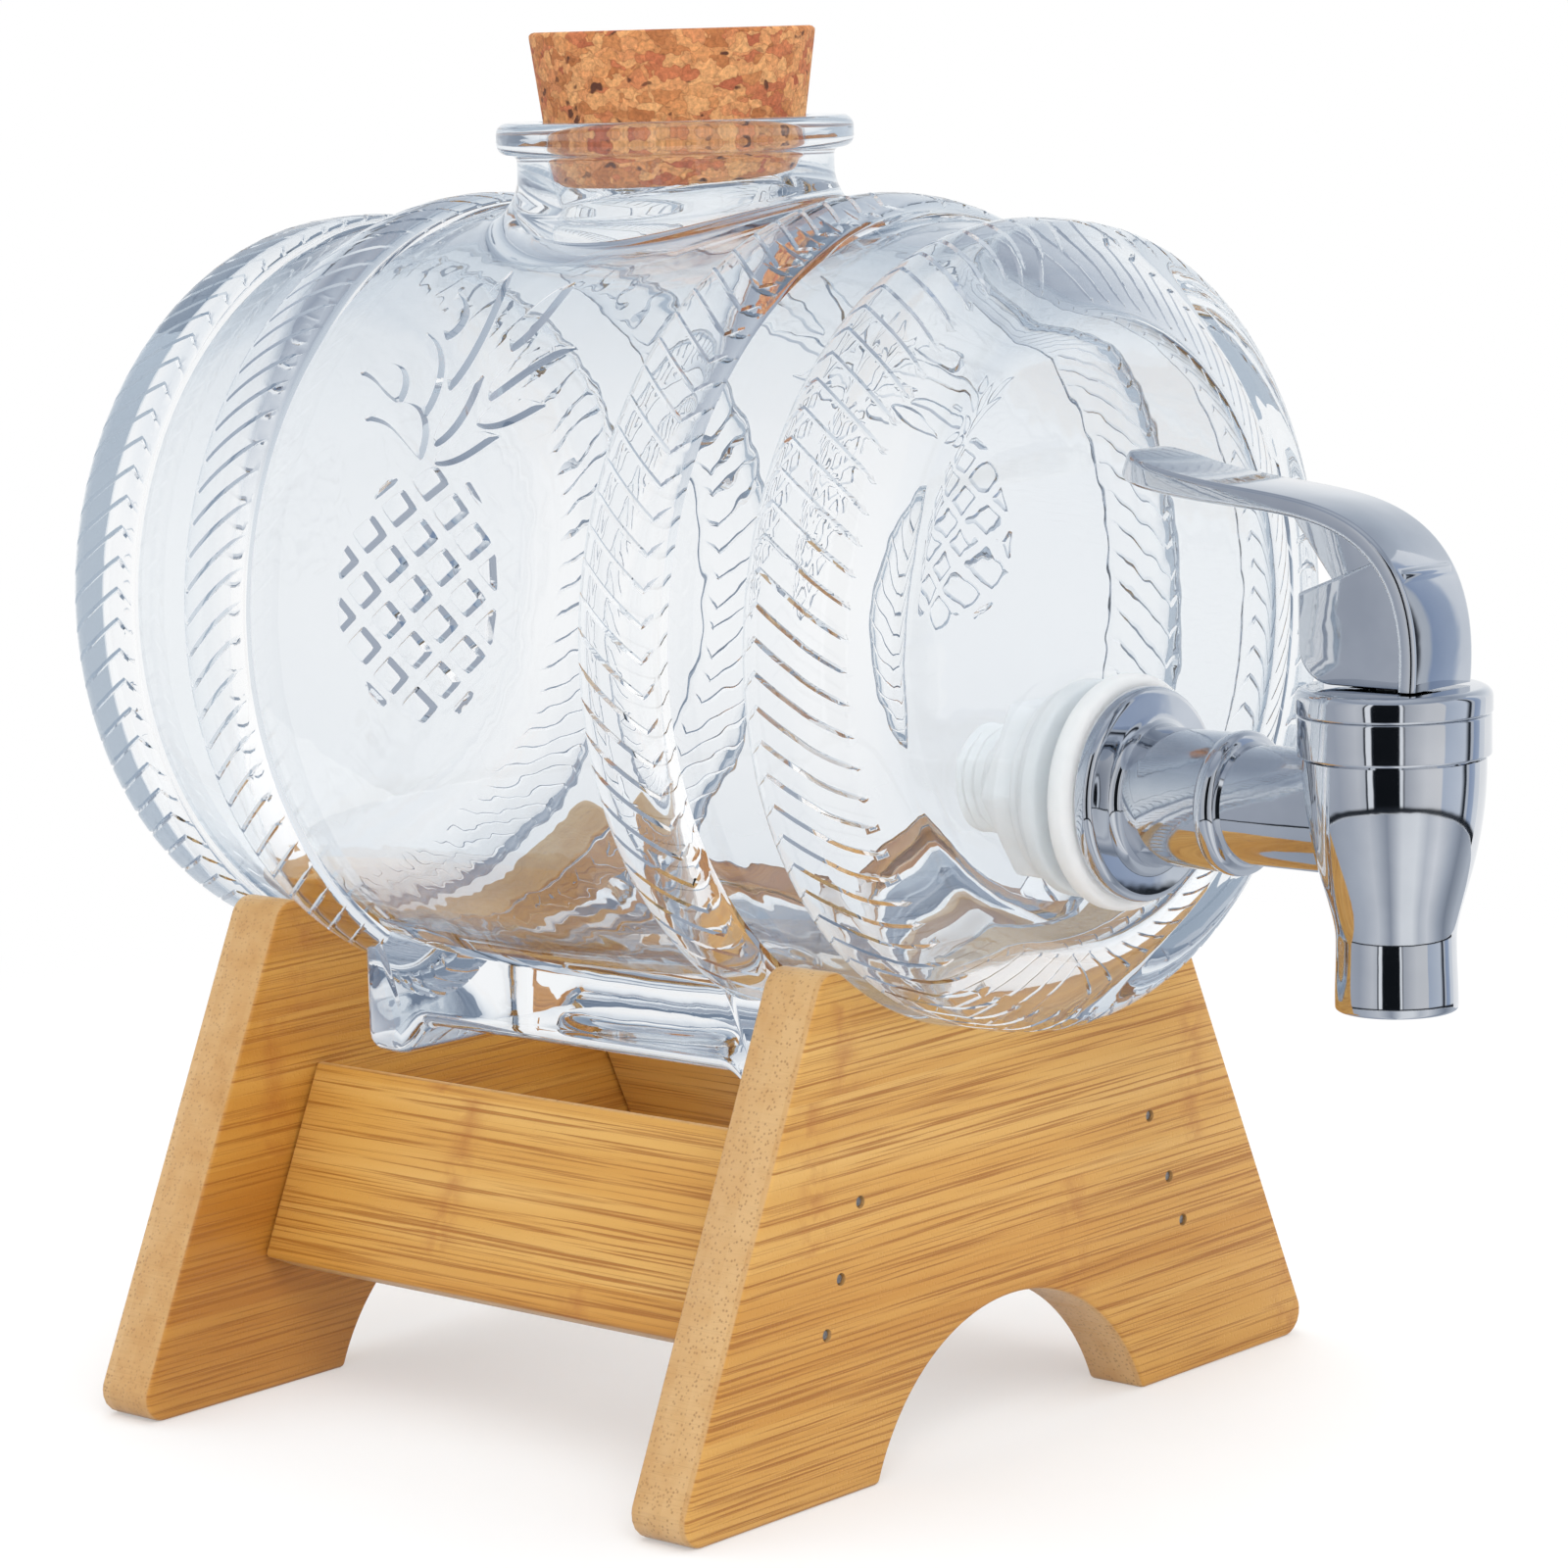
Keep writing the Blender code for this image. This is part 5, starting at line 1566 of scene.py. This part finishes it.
def spout_outline():
    """Outer outline of the spout about its own axis, from its mouth to the cap's neck."""
    lower = bezier(
        (spout_waist_radius, -spout_waist_drop),
        (spout_waist_radius, -spout_waist_drop * spout_pulls[0]),
        (spout_shoulder_radius, -spout_waist_drop * spout_pulls[1]),
        (spout_shoulder_radius, spout_shoulder_rise),
        36,
    )
    tail = bezier(
        (spout_mouth_radius, -spout_mouth_drop),
        (spout_mouth_radius, -(spout_mouth_drop + spout_waist_drop) / 2),
        (spout_waist_radius, -(spout_mouth_drop + spout_waist_drop) / 2),
        (spout_waist_radius, -spout_waist_drop),
        14,
    )
    middle = (spout_mouth_radius - spout_rim, -spout_mouth_drop + spout_rim)
    lip = arc(middle, spout_rim, -math.pi / 2, 0, 4)
    neck_top = spout_shoulder_rise + spout_neck_height
    points = [(0, -spout_mouth_drop)] + lip + tail[2:] + lower[1:]
    points += [(spout_neck_radius, spout_shoulder_rise), (spout_neck_radius, neck_top)]
    return points + [(0, neck_top)]


def shank_outline():
    """Outer outline of the shank about its axis, from inside the spout to the thread's end."""
    flange_back = tap_reach - seat_gap - washer_thickness - seat_gap
    flange_front = flange_back - flange_thickness
    bead_middle = flange_front - shank_root_length
    bead_half = bead_width / 2
    flare = collar_radius - shank_root_radius
    points = [(0, 0), (shank_radius, 0), (shank_radius, bead_middle - bead_half - bead_groove)]
    for step in range(1, 9):
        angle = math.pi / 2 * step / 8
        radius = shank_radius + (bead_radius - shank_radius) * math.sin(angle)
        points.append((radius, bead_middle - bead_half * math.cos(angle)))
    for step in range(1, 5):
        angle = math.pi / 2 * step / 4
        radius = bead_radius - (bead_radius - shank_root_radius) * (1 - math.cos(angle))
        points.append((radius, bead_middle + bead_half * math.sin(angle)))
    points.append((shank_root_radius, flange_front - flare * 2))
    points += arc((collar_radius, flange_front - flare), flare, math.pi, math.pi / 2, 8)[1:]
    middle = (flange_radius - flange_rounding, flange_front + flange_rounding)
    points += arc(middle, flange_rounding, -math.pi / 2, 0, 6)
    points.append((flange_radius, flange_back))
    points.append((thread_radius, flange_back))
    thread_end = flange_back + washer_thickness + head_wall + thread_length
    for along in np.linspace(flange_back, thread_end, 118)[1:]:
        points.append((thread_radius, along))
    return points + [(0, thread_end)], flange_back, thread_end


def tap_body(finish):
    """Spout, shank, flange and thread in one moulding, hollow from thread to mouth."""
    outline, flange_back, thread_end = shank_outline()
    shank = from_shape("tap_body_fine", along_y(turned(outline, 72)))
    thread_start = flange_back + washer_thickness + head_wall
    values = {
        "Pitch": thread_pitch, "Depth": thread_depth, "Start": thread_start, "End": thread_end,
        "Chrome": finish,
    }
    run_tree(shank, thread_tree(), values)
    carve(shank, from_shape("spout", turned(spout_outline(), 112)), "UNION")
    top = spout_shoulder_rise + spout_neck_height + cut_overrun
    outline = [
        (0, -spout_mouth_drop - cut_overrun),
        (outlet_mouth_radius + spout_rim, -spout_mouth_drop - cut_overrun),
        (outlet_mouth_radius + spout_rim, -spout_mouth_drop),
        (outlet_mouth_radius, -spout_mouth_drop + spout_rim),
        (outlet_radius, -spout_waist_drop),
        (outlet_radius, -seat_drop - seat_chamfer),
        (outlet_radius + seat_chamfer, -seat_drop),
        (chamber_radius, -seat_drop),
        (chamber_radius, top),
        (0, top),
    ]
    carve(shank, from_shape("chamber", turned(outline, 72)), "DIFFERENCE")
    bore = along_y(rod(shank_bore_radius, 0, thread_end + cut_overrun, 48))
    carve(shank, from_shape("bore", bore), "DIFFERENCE")
    dress(shank, finish, "barrel", ["tap_body"], spout_axis, 35)


def tap_cap(finish):
    """Screw cap in two bands, with a hole in its roof for the stem."""
    inside = spout_neck_radius + seat_gap
    hole = stem_radius + seat_gap * 2
    skirt = cap_radius - cap_skirt_inset
    groove = cap_height * cap_groove_share
    depth = cap_groove_depth
    outline = [(inside, 0), (skirt - depth, 0)]
    outline += arc((skirt - depth, depth), depth, -math.pi / 2, 0, 4)[1:]
    outline += arc((skirt - depth, groove - depth), depth, 0, math.pi / 2, 4)
    outline += arc((cap_radius - depth, groove + depth), depth, -math.pi / 2, 0, 4)
    outline += arc(
        (cap_radius - cap_rounding, cap_height - cap_rounding), cap_rounding, 0, math.pi / 2, 8
    )
    outline += [(hole + depth, cap_height), (hole, cap_height - depth)]
    outline += [(hole, cap_height - cap_roof), (inside, cap_height - cap_roof)]
    cap = from_shape("tap_cap_fine", turned(outline, 112, ring=True))
    place = (0, spout_place, cap_seat_height)
    dress(cap, finish, "barrel", ["tap_cap"], place, 35)


def washers(silicone):
    """Two silicone washers. The outer one has a bush that lines the hole in the head."""
    hole = thread_radius + seat_gap
    bush = hole + bush_wall
    back = -seat_gap
    front = back - washer_thickness
    outer = [(hole, front), *rounded_rim(washer_radius, front, back, washer_rounding, 8)]
    outer += [(bush, back), (bush, head_wall), (hole, head_wall)]
    front = head_wall + seat_gap
    back = front + inner_washer_thickness
    inner = [(hole, front), *rounded_rim(inner_washer_radius, front, back, washer_rounding / 2, 5)]
    inner += [(hole, back)]
    for word, outline in (("outer", outer), ("inner", inner)):
        washer = from_shape(f"{word}_washer_fine", along_y(turned(outline, 96, ring=True)))
        dress(washer, silicone, "barrel", [f"{word}_washer"], tap_hole)


def lock_nut(nylon):
    """Hexagonal nut with a round flange that clamps the tap to the head."""
    start = head_wall + seat_gap + inner_washer_thickness + seat_gap
    corner = nut_across_flats / 2 / math.cos(math.pi / 6)
    hexagon = arc((0, 0), corner, 0, math.tau, 6)[:-1]
    shape = moved(extruded(hexagon, nut_height, floor_plane), (0, 0, nut_height / 2))
    nut = soften(from_shape("lock_nut_fine", shape), washer_rounding / 2, 4)
    outline = [(0, 0), *rounded_rim(nut_flange_radius, 0, nut_flange_thickness, nut_flange_rounding, 4)]
    outline += [(0, nut_flange_thickness)]
    carve(nut, from_shape("flange", turned(outline, 96)), "UNION")
    hole = rod(thread_radius + seat_gap, -cut_overrun, nut_height + cut_overrun, 64)
    carve(nut, from_shape("hole", hole), "DIFFERENCE")
    nut.data.transform(Matrix.Rotation(-math.pi / 2, 4, "X"))
    dress(nut, nylon, "barrel", ["lock_nut"], tap_hole + Vector((0, start, 0)))


class TapSettings(bpy.types.PropertyGroup):
    """Colours of the tap."""

    chrome_colour: colour_setting("Chrome colour", "Colour of the mirror plating", "CDD1D7")
    silicone_colour: colour_setting("Silicone colour", "Colour of the washers", "EEF1F3")
    tail_colour: colour_setting("Tail colour", "Colour of the unplated threaded tail", "F3F4F4")


class DISPENSER_OT_tap(bpy.types.Operator):
    """Build the tap with its cap, washers, nut and valve"""

    bl_idname = "dispenser.tap"
    bl_label = "Tap"

    def execute(self, context):
        settings = context.scene.dispenser_tap
        chrome = bright_chrome(settings)
        silicone = frosted_silicone(settings)
        nylon = moulded_nylon()
        steel = drawn_steel("spring_steel_wire")
        tap_body(chrome)
        tap_cap(chrome)
        washers(silicone)
        lock_nut(nylon)
        for name, finish in (
            ("valve_plug", silicone),
            ("valve_stem", nylon),
            ("valve_spring", steel),
            ("lever_pin", steel),
        ):
            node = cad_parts[name]
            node.data.materials.clear()
            node.data.materials.append(finish)
        lever(chrome)
        return {"FINISHED"}


def strap_line():
    """Upper line of the lever's strap, from its foot to the tip."""
    floor = seat_gap - pin_height
    shoulder = (lever_shoulder_back, lever_shoulder_height - pin_height)
    rise = bezier(
        (-lever_front, floor),
        (-lever_front - lever_thickness / 2, lever_shoulder_height * rise_pulls[0] - pin_height),
        (-lever_front * rise_pulls[1], lever_shoulder_height * rise_pulls[2] - pin_height),
        shoulder,
        rise_steps,
    )
    run = lever_back - lever_shoulder_back
    pulls = [
        (lever_shoulder_back + run * back, lever_shoulder_height * up - pin_height)
        for back, up in grip_pulls
    ]
    grip = bezier(shoulder, *pulls, (lever_back, lever_tip_height - pin_height), 34)
    return [Vector(point) for point in rise + grip[1:]]


def strap_sections():
    """Sections of the strap, rounded along their edges and at the tip."""
    line = strap_line()
    travelled = [0.0]
    for low, high in zip(line, line[1:]):
        travelled.append(travelled[-1] + (high - low).length)
    total = travelled[-1]
    stations = [total * share for share in np.linspace(0, 1, 56)[:-5]]
    stations += [total - tip_round * (1 - math.sin(a)) for a in np.linspace(0.35, math.pi / 2, 16)]
    stations = sorted(stations)
    rise_length = travelled[rise_steps]
    sections = []
    for station in stations:
        index = min(max(np.searchsorted(travelled, station), 1), len(line) - 1)
        span = travelled[index] - travelled[index - 1]
        share = (station - travelled[index - 1]) / span
        point = line[index - 1].lerp(line[index], share)
        before, after = max(index - 2, 0), min(index + 1, len(line) - 1)
        ahead = line[after] - line[before]
        down = Vector((ahead.y, -ahead.x)).normalized()
        if station == 0:
            down = Vector((1, 0))
        grip_share = max(0.0, (station - rise_length) / (total - rise_length))
        thick = lever_thickness + (lever_tip_thickness - lever_thickness) * grip_share**2
        left = max(0.0, 1 - max(0.0, station - (total - tip_round)) / tip_round)
        narrow = max(tip_least_width, math.sqrt(max(0.0, 1 - (1 - left) ** 2)))
        near_tip = max(0.0, 1 - (total - station) / tip_taper)
        thin = max(tip_least_thickness, math.sqrt(max(0.0, 1 - near_tip**2)))
        middle = point + down * (thick / 2)
        half_wide = lever_width / 2 * narrow
        half_thick = thick / 2 * thin
        edge = min(lever_edge, half_thick * strap_edge_share, half_wide * strap_edge_share)
        loop = []
        for sx, sy, start in ((1, 1, 0), (-1, 1, 1), (-1, -1, 2), (1, -1, 3)):
            centre = (sx * (half_wide - edge), sy * (half_thick - edge))
            loop += arc(centre, edge, start * math.pi / 2, (start + 1) * math.pi / 2, 4)
        sections.append([(x, middle.x + down.x * deep, middle.y + down.y * deep) for x, deep in loop])
    return sections


def lever(finish):
    """Strap, hub and gusset of the lever in one moulding."""
    handle = from_shape("lever_fine", loft(bmesh.new(), strap_sections()))
    floor = seat_gap - pin_height
    heel = (hub_back - heel_radius, floor + heel_radius)
    hub_outline = [(-hub_front, floor)]
    hub_outline += arc(heel, heel_radius, -math.pi / 2, 0, 16)
    hub_outline += [
        (hub_back, hub_back_height - pin_height),
        (-hub_front * hub_shares[0], hub_top_height - pin_height),
        (-hub_front, hub_top_height * hub_shares[1] - pin_height),
    ]
    hub = from_shape("hub", extruded(hub_outline, hub_width, side_plane))
    carve(handle, soften(hub, hub_rounding, 3, 25), "UNION")
    plate_outline = [
        (-gusset_front, hub_back_height - pin_height),
        (gusset_foot, hub_back_height - pin_height),
        (gusset_reach, lever_shoulder_height - pin_height),
        (lever_shoulder_back, lever_shoulder_height - lever_thickness / 2 - pin_height),
        (0, hub_top_height - pin_height + lever_thickness / 2),
    ]
    plate = from_shape("gusset", extruded(plate_outline, gusset_thickness, side_plane))
    carve(handle, soften(plate, gusset_rounding, 3), "UNION")
    slot_top = stem_cover + seat_gap * 2
    slot_outline = [
        (-slot_front, floor - cut_overrun),
        (slot_back, floor - cut_overrun),
        (slot_back, 0),
        (slot_front, slot_top),
        (-slot_front, slot_top),
    ]
    slot = from_shape("slot", extruded(slot_outline, (stem_radius + seat_gap) * 2, side_plane))
    carve(handle, slot, "DIFFERENCE")
    reach = pin_length / 2 + seat_gap
    shape = rod(pin_radius + seat_gap, -reach, reach, 32)
    bmesh.ops.transform(shape, matrix=Matrix.Rotation(math.pi / 2, 4, "Y"), verts=shape.verts[:])
    carve(handle, from_shape("pin_hole", shape), "DIFFERENCE")
    dress(handle, finish, "lever", ["lever"], lever_axis, 32)


# Stage


camera_place = Vector((-0.53692, -0.45963, 0.19782))
camera_target = Vector((0.02095, 0.03037, 0.08584))
camera_roll = math.radians(-1.6)
floor_half_width = 3.0
floor_depth = 0.01
# Each lamp's name, place, width and power in watts
lamps = (
    ("key_light", (-1.0, -1.2, 1.6), 1.2, 16),
    ("fill_light", (1.4, -0.6, 1.1), 1.2, 6),
    ("top_light", (0.2, 0.5, 1.9), 1.4, 10),
)
tent_radius = 0.27
tent_height = 0.34
tent_gap = 0.001
tent_outer_share = 1.01
apron_height = 0.0004
apron_thickness = 0.0002
tent_end = (-100, 130)
# Colours by their angle from the camera's direction, seen from the tap, positive to the right
tent_bands = (
    (-100, "B9BEC8"), (-72, "AEB4BF"), (-45, "D3D5DA"), (-36, "C9CCD2"), (-35, "2B3038"),
    (-33.4, "2B3038"), (-32.6, "F5F7FA"), (-27, "F5F7FA"), (-26, "2B3038"), (-23, "14171B"),
    (5, "14171B"), (6, "3A3F47"), (7, "F5F7FA"), (10, "F5F7FA"), (11, "2B3038"), (13, "B4B8C0"),
    (38, "DCDDE0"), (60, "E2E2E3"), (61.5, "BCC6D6"), (90, "D3DAE5"), (96, "2B3038"),
    (99, "2B3038"), (100.5, "C6CBD3"), (104, "C0C6CF"), (105.5, "98A8C3"), (116, "AFBCD1"),
    (118, "E1E6ED"), (130, "EDF0F4"),
)
apron_bands = (
    (-100, "A9B0BC"), (-60, "BCC2CC"), (-34, "D6D9DF"), (-24, "C3C8D0"), (-10, "9CA3AF"),
    (0, "C9CDD4"), (10, "EEF0F3"), (30, "F4F6F8"), (44, "D0D4DB"), (60, "E8EAEE"),
    (84, "B4BBC6"), (100, "8F97A4"), (130, "C3C9D2"),
)


def floor_finish(settings):
    """Matt white sweep: it holds the object's soft shadow, and is plain white further away."""
    made, tree, shader, output = new_finish("matt_white_sweep")
    feed(
        shader,
        {"Base Color": (*settings.floor_colour, 1), "Roughness": 0.9, "Specular IOR Level": 0.1},
    )
    glow = add(tree, "ShaderNodeEmission", ["FFFFFF", 1.0])
    place = add(tree, "ShaderNodeTexCoord").outputs["Object"]
    # The shadow fades out between 0.16 and 0.42 m from the middle
    away = add(tree, VECTOR, [place], operation="LENGTH")
    far = add(tree, RANGE, [away, 0.16, 0.42], interpolation_type="SMOOTHSTEP")
    path = add(tree, "ShaderNodeLightPath")
    seen = add(tree, "ADD", [path.outputs["Is Camera Ray"], path.outputs["Is Glossy Ray"]])
    seen = add(tree, "ADD", [seen, path.outputs["Is Transmission Ray"]], use_clamp=True)
    part = add(tree, RANGE, [far, 0.0, 1.0, settings.floor_glow, 1.0])
    white = add(tree, "MULTIPLY", [part, seen])
    mixed = add(tree, "ShaderNodeMixShader", [white, shader, glow])
    feed(output, {"Surface": mixed})
    return made


def studio_world(settings):
    """White round the object to the eye, soft light for matt things, greyer bands in mirrors."""
    world = bpy.data.worlds.new("studio_world")
    bpy.context.scene.world = world
    world.use_nodes = True
    tree = world.node_tree
    output = tree.nodes["World Output"]
    path = add(tree, "ShaderNodeLightPath")
    white = add(tree, "ShaderNodeBackground", ["FFFFFF", 1.0])
    light = add(tree, "ShaderNodeBackground", ["FFFFFF", settings.ambient])
    aim = add(tree, "ShaderNodeTexCoord").outputs["Generated"]
    parts = add(tree, "ShaderNodeSeparateXYZ", [aim])
    tall = add(
        tree, RAMP, [add(tree, "MULTIPLY_ADD", [parts.outputs[2], 0.5, 0.5])],
        stops=(
            (0.0, "F4F4F4"), (0.52, "FFFFFF"), (0.62, "F3F6F9"),
            (0.80, "C0C8D3"), (0.90, "9BA4B3"), (1.0, "C2C8D2"),
        ),
    )
    mirror = add(tree, "ShaderNodeBackground", [tall, 1.0])
    seen = add(tree, "ShaderNodeMixShader", [path.outputs["Is Camera Ray"], light, white])
    shiny = add(
        tree, "ADD",
        [path.outputs["Is Glossy Ray"], path.outputs["Is Transmission Ray"]], use_clamp=True,
    )
    mixed = add(tree, "ShaderNodeMixShader", [shiny, seen, mirror])
    feed(output, {"Surface": mixed})


def tent_finish(name, toward, colours):
    """Panels of a light tent: pale boxes, a dark gap between them and dark seams at their ends."""
    made, tree, shader, output = new_finish(name)
    place = add(tree, "ShaderNodeTexCoord").outputs["Object"]
    place = add(tree, VECTOR, [place, (*spout_axis.xy, 0)], operation="SUBTRACT")
    height = add(tree, "ShaderNodeSeparateXYZ", [place]).outputs[2]
    beside = Vector((-toward.y, toward.x, 0))
    ahead = add(tree, VECTOR, [place, tuple(toward)], operation="DOT_PRODUCT")
    aside = add(tree, VECTOR, [place, tuple(beside)], operation="DOT_PRODUCT")
    angle = add(tree, "ARCTAN2", [aside, ahead])
    share = add(tree, RANGE, [angle, math.radians(tent_end[0]), math.radians(tent_end[1])])
    span = tent_end[1] - tent_end[0]
    stops = [((turn - tent_end[0]) / span, linear(colour)) for turn, colour in colours]
    bands = add(tree, RAMP, [share], stops=stops)
    # The seam at the foot runs from 2 mm to some 10 mm over the floor
    seam_low = add(tree, RANGE, [height, 0.001, 0.002])
    seam = add(tree, RANGE, [height, 0.008, 0.012, 1.0, 0.0])
    seam = add(tree, "MULTIPLY", [seam, seam_low])
    colour = add(tree, MIX, [seam, bands, "23272D"], data_type="RGBA")
    glow = add(tree, "ShaderNodeEmission", [colour, 1.0])
    feed(output, {"Surface": glow})
    return made


def light_tent(toward):
    """A curved tent and an apron round the tap that only mirrors see."""
    start = math.atan2(toward.y, toward.x)
    angles = [start + math.radians(turn) for turn in np.linspace(*tent_end, 60)]
    outline = [(tent_radius * math.cos(angle), tent_radius * math.sin(angle)) for angle in angles]
    outline += [(a * tent_outer_share, b * tent_outer_share) for a, b in reversed(outline)]
    shape = moved(extruded(outline, tent_height, floor_plane), (0, 0, tent_height / 2 + tent_gap))
    tent = from_shape("light_tent", moved(shape, (*spout_axis.xy, 0)))
    tent.data.materials.append(tent_finish("light_tent_panels", toward, tent_bands))
    outline = arc((0, 0), tent_radius, 0, math.tau, 64)[:-1]
    shape = moved(extruded(outline, apron_thickness, floor_plane), (*spout_axis.xy, apron_height))
    apron = from_shape("tent_apron", shape)
    apron.data.materials.append(tent_finish("light_tent_apron", toward, apron_bands))
    for made in (tent, apron):
        for ray in ("camera", "diffuse", "transmission", "shadow"):
            setattr(made, f"visible_{ray}", False)


def soft_light(name, place, size, power, target=(0, 0, 0.08)):
    """A square soft box aimed at the object."""
    data = bpy.data.lights.new(name, "AREA")
    data.shape = "SQUARE"
    data.size = size
    data.energy = power
    made = bpy.data.objects.new(name, data)
    bpy.context.scene.collection.objects.link(made)
    made.location = place
    made.rotation_euler = (Vector(target) - Vector(place)).to_track_quat("-Z", "Y").to_euler()
    made.visible_glossy = False
    made.visible_transmission = False
    return made


def add_camera(lens):
    """The camera, in front of the tap on its left and a little rolled."""
    data = bpy.data.cameras.new("camera")
    data.sensor_width = 36
    data.lens = lens
    camera = bpy.data.objects.new("camera", data)
    bpy.context.scene.collection.objects.link(camera)
    turn = (camera_target - camera_place).to_track_quat("-Z", "Y").to_matrix().to_4x4()
    roll = Matrix.Rotation(camera_roll, 4, "Z")
    camera.matrix_world = Matrix.Translation(camera_place) @ turn @ roll
    bpy.context.scene.camera = camera


class StageSettings(bpy.types.PropertyGroup):
    """Colours and light of the studio."""

    floor_colour: colour_setting("Floor colour", "Colour of the floor", "F6F6F6")
    floor_glow: FloatProperty(
        name="Floor glow", description="Share of plain white in the floor near the object",
        default=0.35, min=0, max=1,
    )
    ambient: FloatProperty(
        name="Ambient light", description="Strength of the even light from all round",
        default=0.78, min=0,
    )
    lens: FloatProperty(
        name="Lens", description="Focal length of the camera", default=115.2, unit="CAMERA"
    )


class DISPENSER_OT_stage(bpy.types.Operator):
    """Build the floor, the lights and the camera"""

    bl_idname = "dispenser.stage"
    bl_label = "Stage"

    def execute(self, context):
        settings = context.scene.dispenser_stage
        floor = from_shape("floor", block(floor_half_width, floor_half_width, -floor_depth, 0.0))
        floor.data.materials.append(floor_finish(settings))
        studio_world(settings)
        for lamp in lamps:
            soft_light(*lamp)
        light_tent(((camera_place - spout_axis) * Vector((1, 1, 0))).normalized())
        add_camera(settings.lens)
        context.scene.view_settings.view_transform = "Standard"
        return {"FINISHED"}


operators = (
    DISPENSER_OT_glass, DISPENSER_OT_cork, DISPENSER_OT_stand, DISPENSER_OT_tap, DISPENSER_OT_stage
)
groups = {
    "dispenser_glass": GlassSettings,
    "dispenser_cork": CorkSettings,
    "dispenser_stand": StandSettings,
    "dispenser_tap": TapSettings,
    "dispenser_stage": StageSettings,
}


class DISPENSER_PT_sidebar(bpy.types.Panel):
    """Lists the steps and their settings"""

    bl_label = "Barrel dispenser"
    bl_idname = "DISPENSER_PT_sidebar"
    bl_space_type = "VIEW_3D"
    bl_region_type = "UI"
    bl_category = "Dispenser"

    def draw(self, context):
        for step, group_name in zip(operators, groups):
            box = self.layout.box()
            box.operator(step.bl_idname)
            group = getattr(context.scene, group_name)
            for name in group.__annotations__:
                box.prop(group, name)


def register():
    """Register the settings, the steps and the sidebar."""
    for name, group in groups.items():
        bpy.utils.register_class(group)
        setattr(bpy.types.Scene, name, PointerProperty(type=group))
    for step in (*operators, DISPENSER_PT_sidebar):
        bpy.utils.register_class(step)


def unregister():
    """Take the sidebar, the steps and the settings out again."""
    for step in (DISPENSER_PT_sidebar, *reversed(operators)):
        bpy.utils.unregister_class(step)
    for name, group in groups.items():
        delattr(bpy.types.Scene, name)
        bpy.utils.unregister_class(group)


def main():
    """Register the steps and build everything."""
    register()
    bpy.ops.dispenser.glass()
    bpy.ops.dispenser.cork()
    bpy.ops.dispenser.stand()
    bpy.ops.dispenser.tap()
    bpy.ops.dispenser.stage()


if __name__ == "__main__":
    main()
